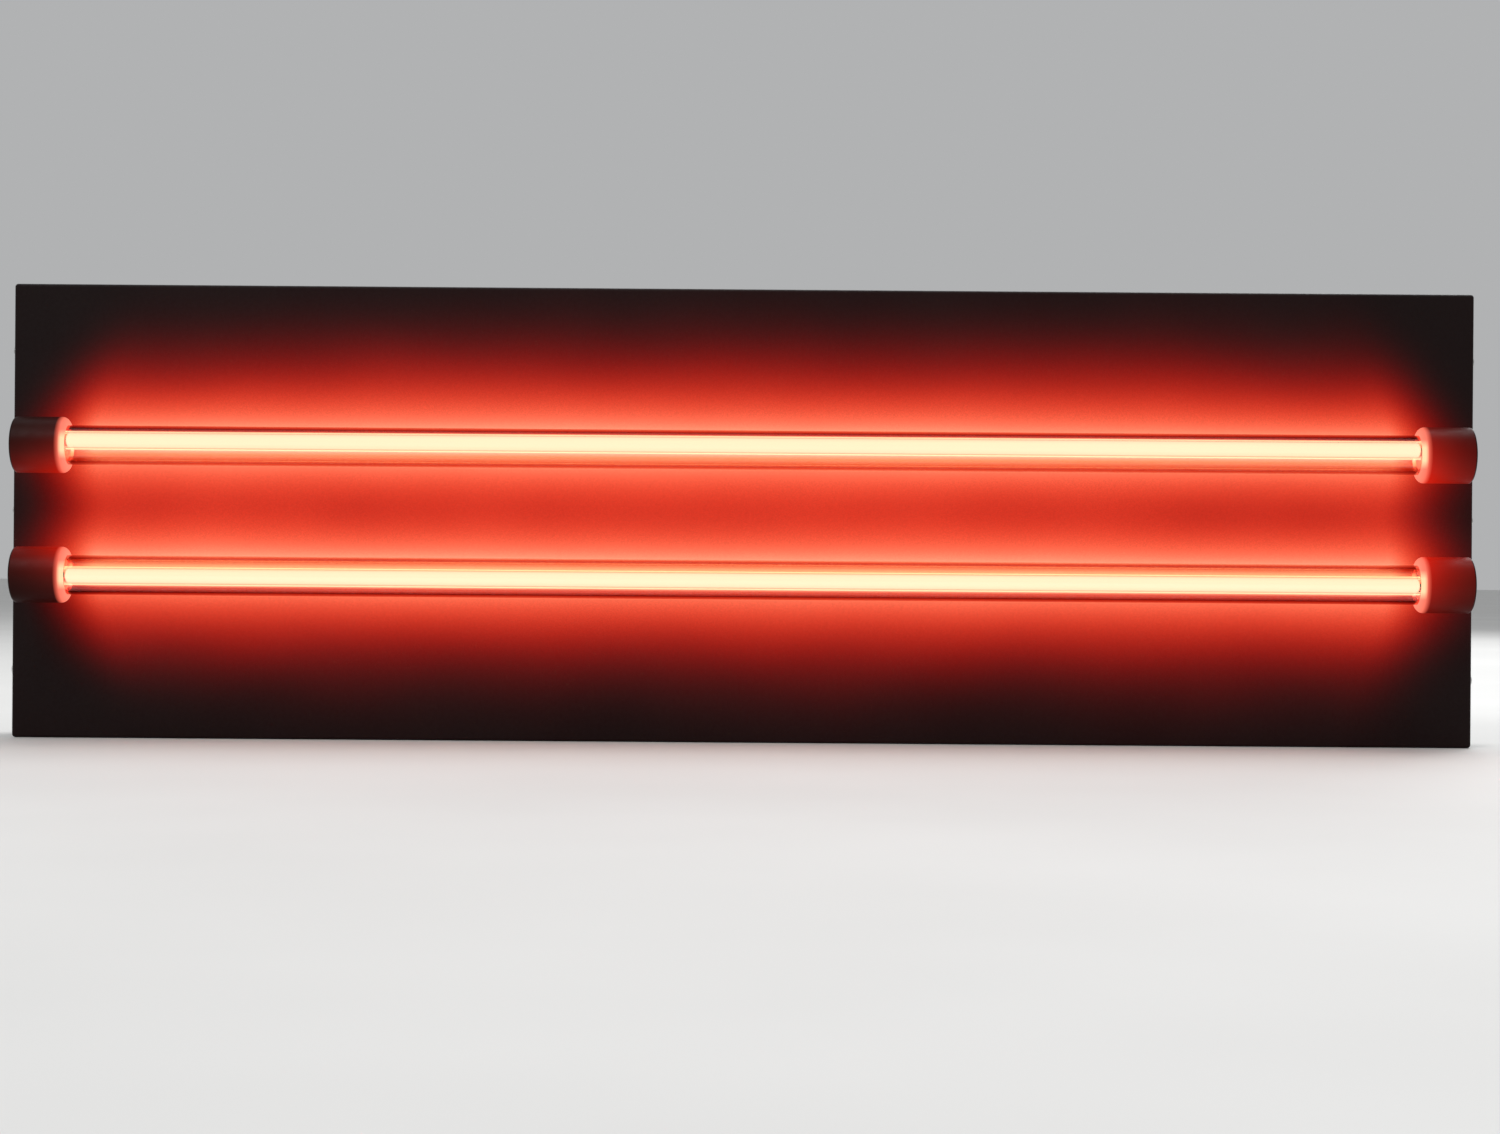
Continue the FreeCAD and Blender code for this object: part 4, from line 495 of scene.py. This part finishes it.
def cartridge(name):
    """The fuse: a glass tube between two plated end caps."""
    material = clear_glass(name, FUSE_GLASS_TINT)
    tree = material.node_tree
    low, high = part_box("fuse")
    along = add(tree, "ShaderNodeSeparateXYZ", {"Vector": place(tree)}).outputs[0]
    from_middle = calc(tree, "ABSOLUTE", calc(tree, "SUBTRACT", along, (low.x + high.x) / 2))
    inside_caps = (high.x - low.x) / 2 - FUSE_CAP
    plated = calc(tree, "GREATER_THAN", from_middle, inside_caps - FUSE_CAP_MARGIN)
    cloud = noise(tree, 900.0, 3.0)
    cap_colour = blend_colour(tree, between(tree, cloud, 0.0, 1.0), FUSE_CAP_DARK, FUSE_CAP_LIGHT)
    drive(
        tree, tree.nodes["Principled BSDF"],
        Base_Color=blend_colour(tree, plated, FUSE_GLASS_TINT, cap_colour),
        Metallic=plated,
        Roughness=calc(tree, "MULTIPLY", plated, between(tree, cloud, 0.18, 0.34)),
        Transmission_Weight=calc(tree, "SUBTRACT", 1.0, plated),
    )
    return material


def brown_glaze(name):
    """Dark brown glazed porcelain, with the tube's light painted on at its mouth as emission."""
    material, tree, surface = new_material(name)
    run = noise(tree, 45.0, 4.0)
    drive(
        tree, surface,
        Base_Color=blend_colour(tree, between(tree, run, 0.0, 1.0), GLAZE, GLAZE_LIGHT),
        Roughness=between(tree, noise(tree, 200.0, 2.0), 0.38, 0.50),
        Specular_IOR_Level=0.08,
        Normal=bump(tree, noise(tree, 120.0, 1.0), 0.05 * MM, 0.4),
        Emission_Color=mouth_light(tree),
        Emission_Strength=1.0,
    )
    return material


def gas_glow(name):
    """The lit gas: pale in the middle of the tube and orange towards its edge."""
    material, tree, surface = new_material(name)
    colour = blend_colour(tree, calc(tree, "POWER", across_tube(tree), 1.7), CORE_CENTRE, CORE_EDGE)
    drive(
        tree, surface,
        Base_Color=(0.0, 0.0, 0.0),
        Specular_IOR_Level=0.0,
        Emission_Color=colour,
        Emission_Strength=1.0,
    )
    material.cycles.emission_sampling = "NONE"
    return material


MATERIALS = {
    "charcoal_powder_coat": powder_coat("charcoal_powder_coat"),
    "zinc_steel": plated_metal("zinc_steel", (0.50, 0.50, 0.48), (0.66, 0.66, 0.65), 0.22, 0.38),
    "spring_steel": plated_metal("spring_steel", (0.36, 0.36, 0.37), (0.50, 0.50, 0.51), 0.25, 0.40),
    "clear_sleeve": sleeve_glass("clear_sleeve"),
    "neon_glass": neon_glass("neon_glass"),
    "nickel": plated_metal("nickel", (0.45, 0.42, 0.38), (0.58, 0.55, 0.50), 0.28, 0.42),
    "brass": plated_metal("brass", (0.62, 0.42, 0.17), (0.80, 0.60, 0.30), 0.20, 0.38),
    "porcelain": brown_glaze("porcelain"),
    "grey_silicone": moulded("grey_silicone", (0.20, 0.20, 0.20), (0.27, 0.27, 0.27), 0.55, 0.75),
    "black_rubber": moulded("black_rubber", (0.018, 0.018, 0.018), (0.030, 0.030, 0.030), 0.60, 0.80),
    "black_plastic": moulded("black_plastic", (0.014, 0.014, 0.015), (0.022, 0.022, 0.023), 0.38, 0.52),
    "natural_nylon": moulded("natural_nylon", (0.62, 0.59, 0.50), (0.74, 0.71, 0.62), 0.35, 0.50),
    "rocker_red": moulded("rocker_red", (0.36, 0.010, 0.010), (0.44, 0.016, 0.014), 0.16, 0.24, 0.01),
    "bare_aluminium": plated_metal("bare_aluminium", (0.60, 0.61, 0.62), (0.76, 0.77, 0.78), 0.28, 0.42),
    "board_green": moulded("board_green", (0.012, 0.10, 0.035), (0.02, 0.15, 0.05), 0.25, 0.40),
    "ferrite": moulded("ferrite", (0.030, 0.030, 0.033), (0.055, 0.055, 0.058), 0.50, 0.70),
    "potting_resin": moulded("potting_resin", (0.050, 0.020, 0.010), (0.085, 0.035, 0.018), 0.15, 0.30),
    "lead_insulation": moulded("lead_insulation", (0.50, 0.48, 0.44), (0.62, 0.60, 0.56), 0.40, 0.55),
    "brown_insulation": moulded("brown_insulation", (0.10, 0.040, 0.018), (0.14, 0.060, 0.028), 0.30, 0.42),
    "blue_insulation": moulded("blue_insulation", (0.015, 0.06, 0.33), (0.02, 0.08, 0.42), 0.30, 0.42),
    "earth_insulation": striped_insulation("earth_insulation", (0.03, 0.22, 0.03), (0.62, 0.50, 0.03)),
    "fuse_glass": cartridge("fuse_glass"),
}


def paint_cad_nodes():
    """Gives every CAD node the procedural material of its slot."""
    for subpart in frame["record"]["subparts"]:
        node = frame["nodes"][subpart["node"]]
        node.data.materials.clear()
        node.data.materials.append(MATERIALS[subpart["material_slot"]])
    panel = frame["nodes"]["front_panel"]
    # The front panel's coat carries the tubes' painted glow as emission.
    panel.data.materials[0] = powder_coat("lit_powder_coat", lit=True)


# ---------------------------------------------------------------- pieces made here


def add_piece(name, mesh, material, slot, *replaced):
    """A mesh that rides on the fixed body and stands for the CAD nodes it replaces."""
    mesh.materials.append(material)
    piece = bpy.data.objects.new(name, mesh)
    bpy.context.scene.collection.objects.link(piece)
    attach(piece, "root")
    if replaced:
        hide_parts(*replaced)
    return piece


def finish_mesh(name, builder):
    """A smooth mesh from a bmesh, with its faces turned outwards."""
    bmesh.ops.recalc_face_normals(builder, faces=builder.faces)
    mesh = bpy.data.meshes.new(name)
    builder.to_mesh(mesh)
    builder.free()
    mesh.shade_smooth()
    return mesh


def lathe_mesh(name, profile, origin, steps=96):
    """A surface turned about an X axis through origin, from (x, radius) points."""
    builder = bmesh.new()
    rings = []
    for x, radius in profile:
        if radius < 1e-7:
            rings.append([builder.verts.new(origin + Vector((x, 0, 0)))])
            continue
        ring = []
        for step in range(steps):
            angle = 2 * math.pi * step / steps
            point = Vector((x, radius * math.cos(angle), radius * math.sin(angle)))
            ring.append(builder.verts.new(origin + point))
        rings.append(ring)
    for near, far in zip(rings, rings[1:]):
        for step in range(steps):
            after = (step + 1) % steps
            corners = [near[step % len(near)], near[after % len(near)]]
            corners += [far[after % len(far)], far[step % len(far)]]
            builder.faces.new(list(dict.fromkeys(corners)))
    return finish_mesh(name, builder)


def add_gas_columns():
    """The column of lit gas inside each neon tube, with rounded ends at the electrodes."""
    glow = gas_glow("gas_glow")
    for tube in TUBES:
        low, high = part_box(f"{tube}_neon_tube")
        axis = (low + high) / 2
        radius = (high.z - low.z) / 2 - GAS_INSET
        half = MOUTH_X - GAS_END_INSET
        end_length = radius * GAS_END_FLATNESS
        cap = [(half + end_length * math.sin(angle), radius * math.cos(angle)) for angle in GAS_END_STEPS]
        cap.append((half + end_length, 0.0))
        profile = [(-x, r) for x, r in reversed(cap)] + cap
        name = f"{tube}_gas_column"
        column = add_piece(name, lathe_mesh(name, profile, axis), glow, "neon_glass")
        column.visible_diffuse = False
        column.visible_shadow = False


def coil_mesh(name, low, high, around=12, per_turn=32):
    """A coil of round wire along X that fills the given box."""
    middle = (low + high) / 2
    coil_radius = (high.z - low.z - SPRING_WIRE) / 2
    run = high.x - low.x - SPRING_WIRE
    steps = SPRING_TURNS * per_turn
    builder = bmesh.new()
    rings = []
    for step in range(steps + 1):
        angle = 2 * math.pi * step / per_turn
        outward = Vector((0, math.cos(angle), math.sin(angle)))
        start = Vector((low.x + SPRING_WIRE / 2 + run * step / steps, middle.y, middle.z))
        ring = []
        for point in range(around):
            turn = 2 * math.pi * point / around
            offset = Vector((math.sin(turn), 0, 0)) + outward * math.cos(turn)
            ring.append(builder.verts.new(start + outward * coil_radius + offset * SPRING_WIRE / 2))
        rings.append(ring)
    for near, far in zip(rings, rings[1:]):
        for point in range(around):
            after = (point + 1) % around
            builder.faces.new((near[point], near[after], far[after], far[point]))
    builder.faces.new(rings[0])
    builder.faces.new(rings[-1])
    return finish_mesh(name, builder)


def add_contact_springs():
    """Coil springs of round wire in place of the CAD springs, each filling the box of the spring it replaces.
    """
    for end in ENDS:
        node, joint = f"contact_spring_{end}", f"contact_{end}"
        low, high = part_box(node)
        coil = coil_mesh(node, low, high)
        spring = add_piece(f"{end}_coil", coil, MATERIALS["spring_steel"], "spring_steel", node)
        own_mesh(spring)


def let_light_through():
    """The lamps of the tubes shine through the glass, so the glass casts no shadow."""
    for tube in TUBES:
        for node in (f"{tube}_sleeve", f"{tube}_neon_tube"):
            frame["nodes"][node].visible_shadow = False


# ---------------------------------------------------------------- light, floor and camera


def add_area_light(name, size_x, size_y, place_at, aim, colour, watts):
    data = bpy.data.lights.new(name, "AREA")
    data.shape = "RECTANGLE"
    data.size, data.size_y = size_x, size_y
    data.color, data.energy = colour, watts
    lamp = bpy.data.objects.new(name, data)
    bpy.context.scene.collection.objects.link(lamp)
    lamp.matrix_world = Matrix.Translation(place_at) @ aim.to_matrix().to_4x4()
    return lamp


def add_tube_lamps():
    """Long red strips in each tube that shine to all four sides, on every CAD part but the front panel."""
    sign = bpy.data.collections.new("sign")
    for node, piece in frame["nodes"].items():
        if node != "front_panel":
            sign.objects.link(piece)
    turns = {"back": 90, "front": -90, "down": 0, "up": 180}
    for tube in TUBES:
        for side, degrees in turns.items():
            aim = Euler((math.radians(degrees), 0, 0))
            name = f"{tube}_lamp_{side}"
            lamp = add_area_light(
                name, 2 * MOUTH_X, TUBE_LAMP_WIDTH, TUBE_AXIS[tube], aim, NEON_RED, TUBE_WATTS
            )
            lamp.light_linking.receiver_collection = sign
            for kind in ("camera", "glossy", "transmission"):
                setattr(lamp, f"visible_{kind}", False)


def add_studio():
    """Soft white light from above and both sides, in a pale surround, with no glints on the glass."""
    world = bpy.data.worlds.new("studio")
    bpy.context.scene.world = world
    world.use_nodes = True
    background = world.node_tree.nodes["Background"]
    background.inputs["Color"].default_value = (*STUDIO_WHITE, 1.0)
    background.inputs["Strength"].default_value = STUDIO_STRENGTH
    glass = bpy.data.collections.new("glass")
    for tube in TUBES:
        for kind in ("sleeve", "neon_tube"):
            glass.objects.link(frame["nodes"][f"{tube}_{kind}"])
    for entry in glass.collection_objects:
        entry.light_linking.link_state = "EXCLUDE"
    for name, width, height, place_at, target, watts in STUDIO_LAMPS:
        aim = (Vector(place_at) - Vector(target)).to_track_quat("Z", "Y").to_euler()
        lamp = add_area_light(name, width, height, Vector(place_at), aim, (1, 1, 1), watts)
        lamp.light_linking.receiver_collection = glass


def add_floor():
    """A plain pale floor under the case's lower edge."""
    bpy.ops.mesh.primitive_plane_add(size=FLOOR_SIZE, location=(0, 0, PANEL_LOW.z - FLOOR_GAP))
    floor = bpy.context.object
    floor.name = "floor"
    material, tree, surface = new_material("floor")
    shade = between(tree, noise(tree, 3.0, 3.0), 0.0, 1.0)
    drive(
        tree, surface,
        Base_Color=blend_colour(tree, shade, FLOOR_DARK, FLOOR_LIGHT),
        Roughness=0.75,
    )
    floor.data.materials.append(material)


def add_camera():
    """Square on to the sign, a little below its middle, with the tilt of a hand-held camera."""
    data = bpy.data.cameras.new("camera")
    data.sensor_width = SENSOR_WIDTH
    data.lens = LENS
    camera = bpy.data.objects.new("camera", data)
    bpy.context.scene.collection.objects.link(camera)
    depth = TUBE_AXIS["upper"].y - CAMERA_AWAY
    camera.location = (CAMERA_ASIDE, depth, -CAMERA_BELOW)
    camera.rotation_euler = (math.radians(90), math.radians(CAMERA_ROLL), 0)
    bpy.context.scene.camera = camera


def set_colours():
    """Plain display colours, so that strong red light stays red."""
    view = bpy.context.scene.view_settings
    view.view_transform = "Standard"
    view.look = "None"


paint_cad_nodes()
add_gas_columns()
add_contact_springs()
let_light_through()
add_tube_lamps()
add_studio()
add_floor()
add_camera()
set_colours()
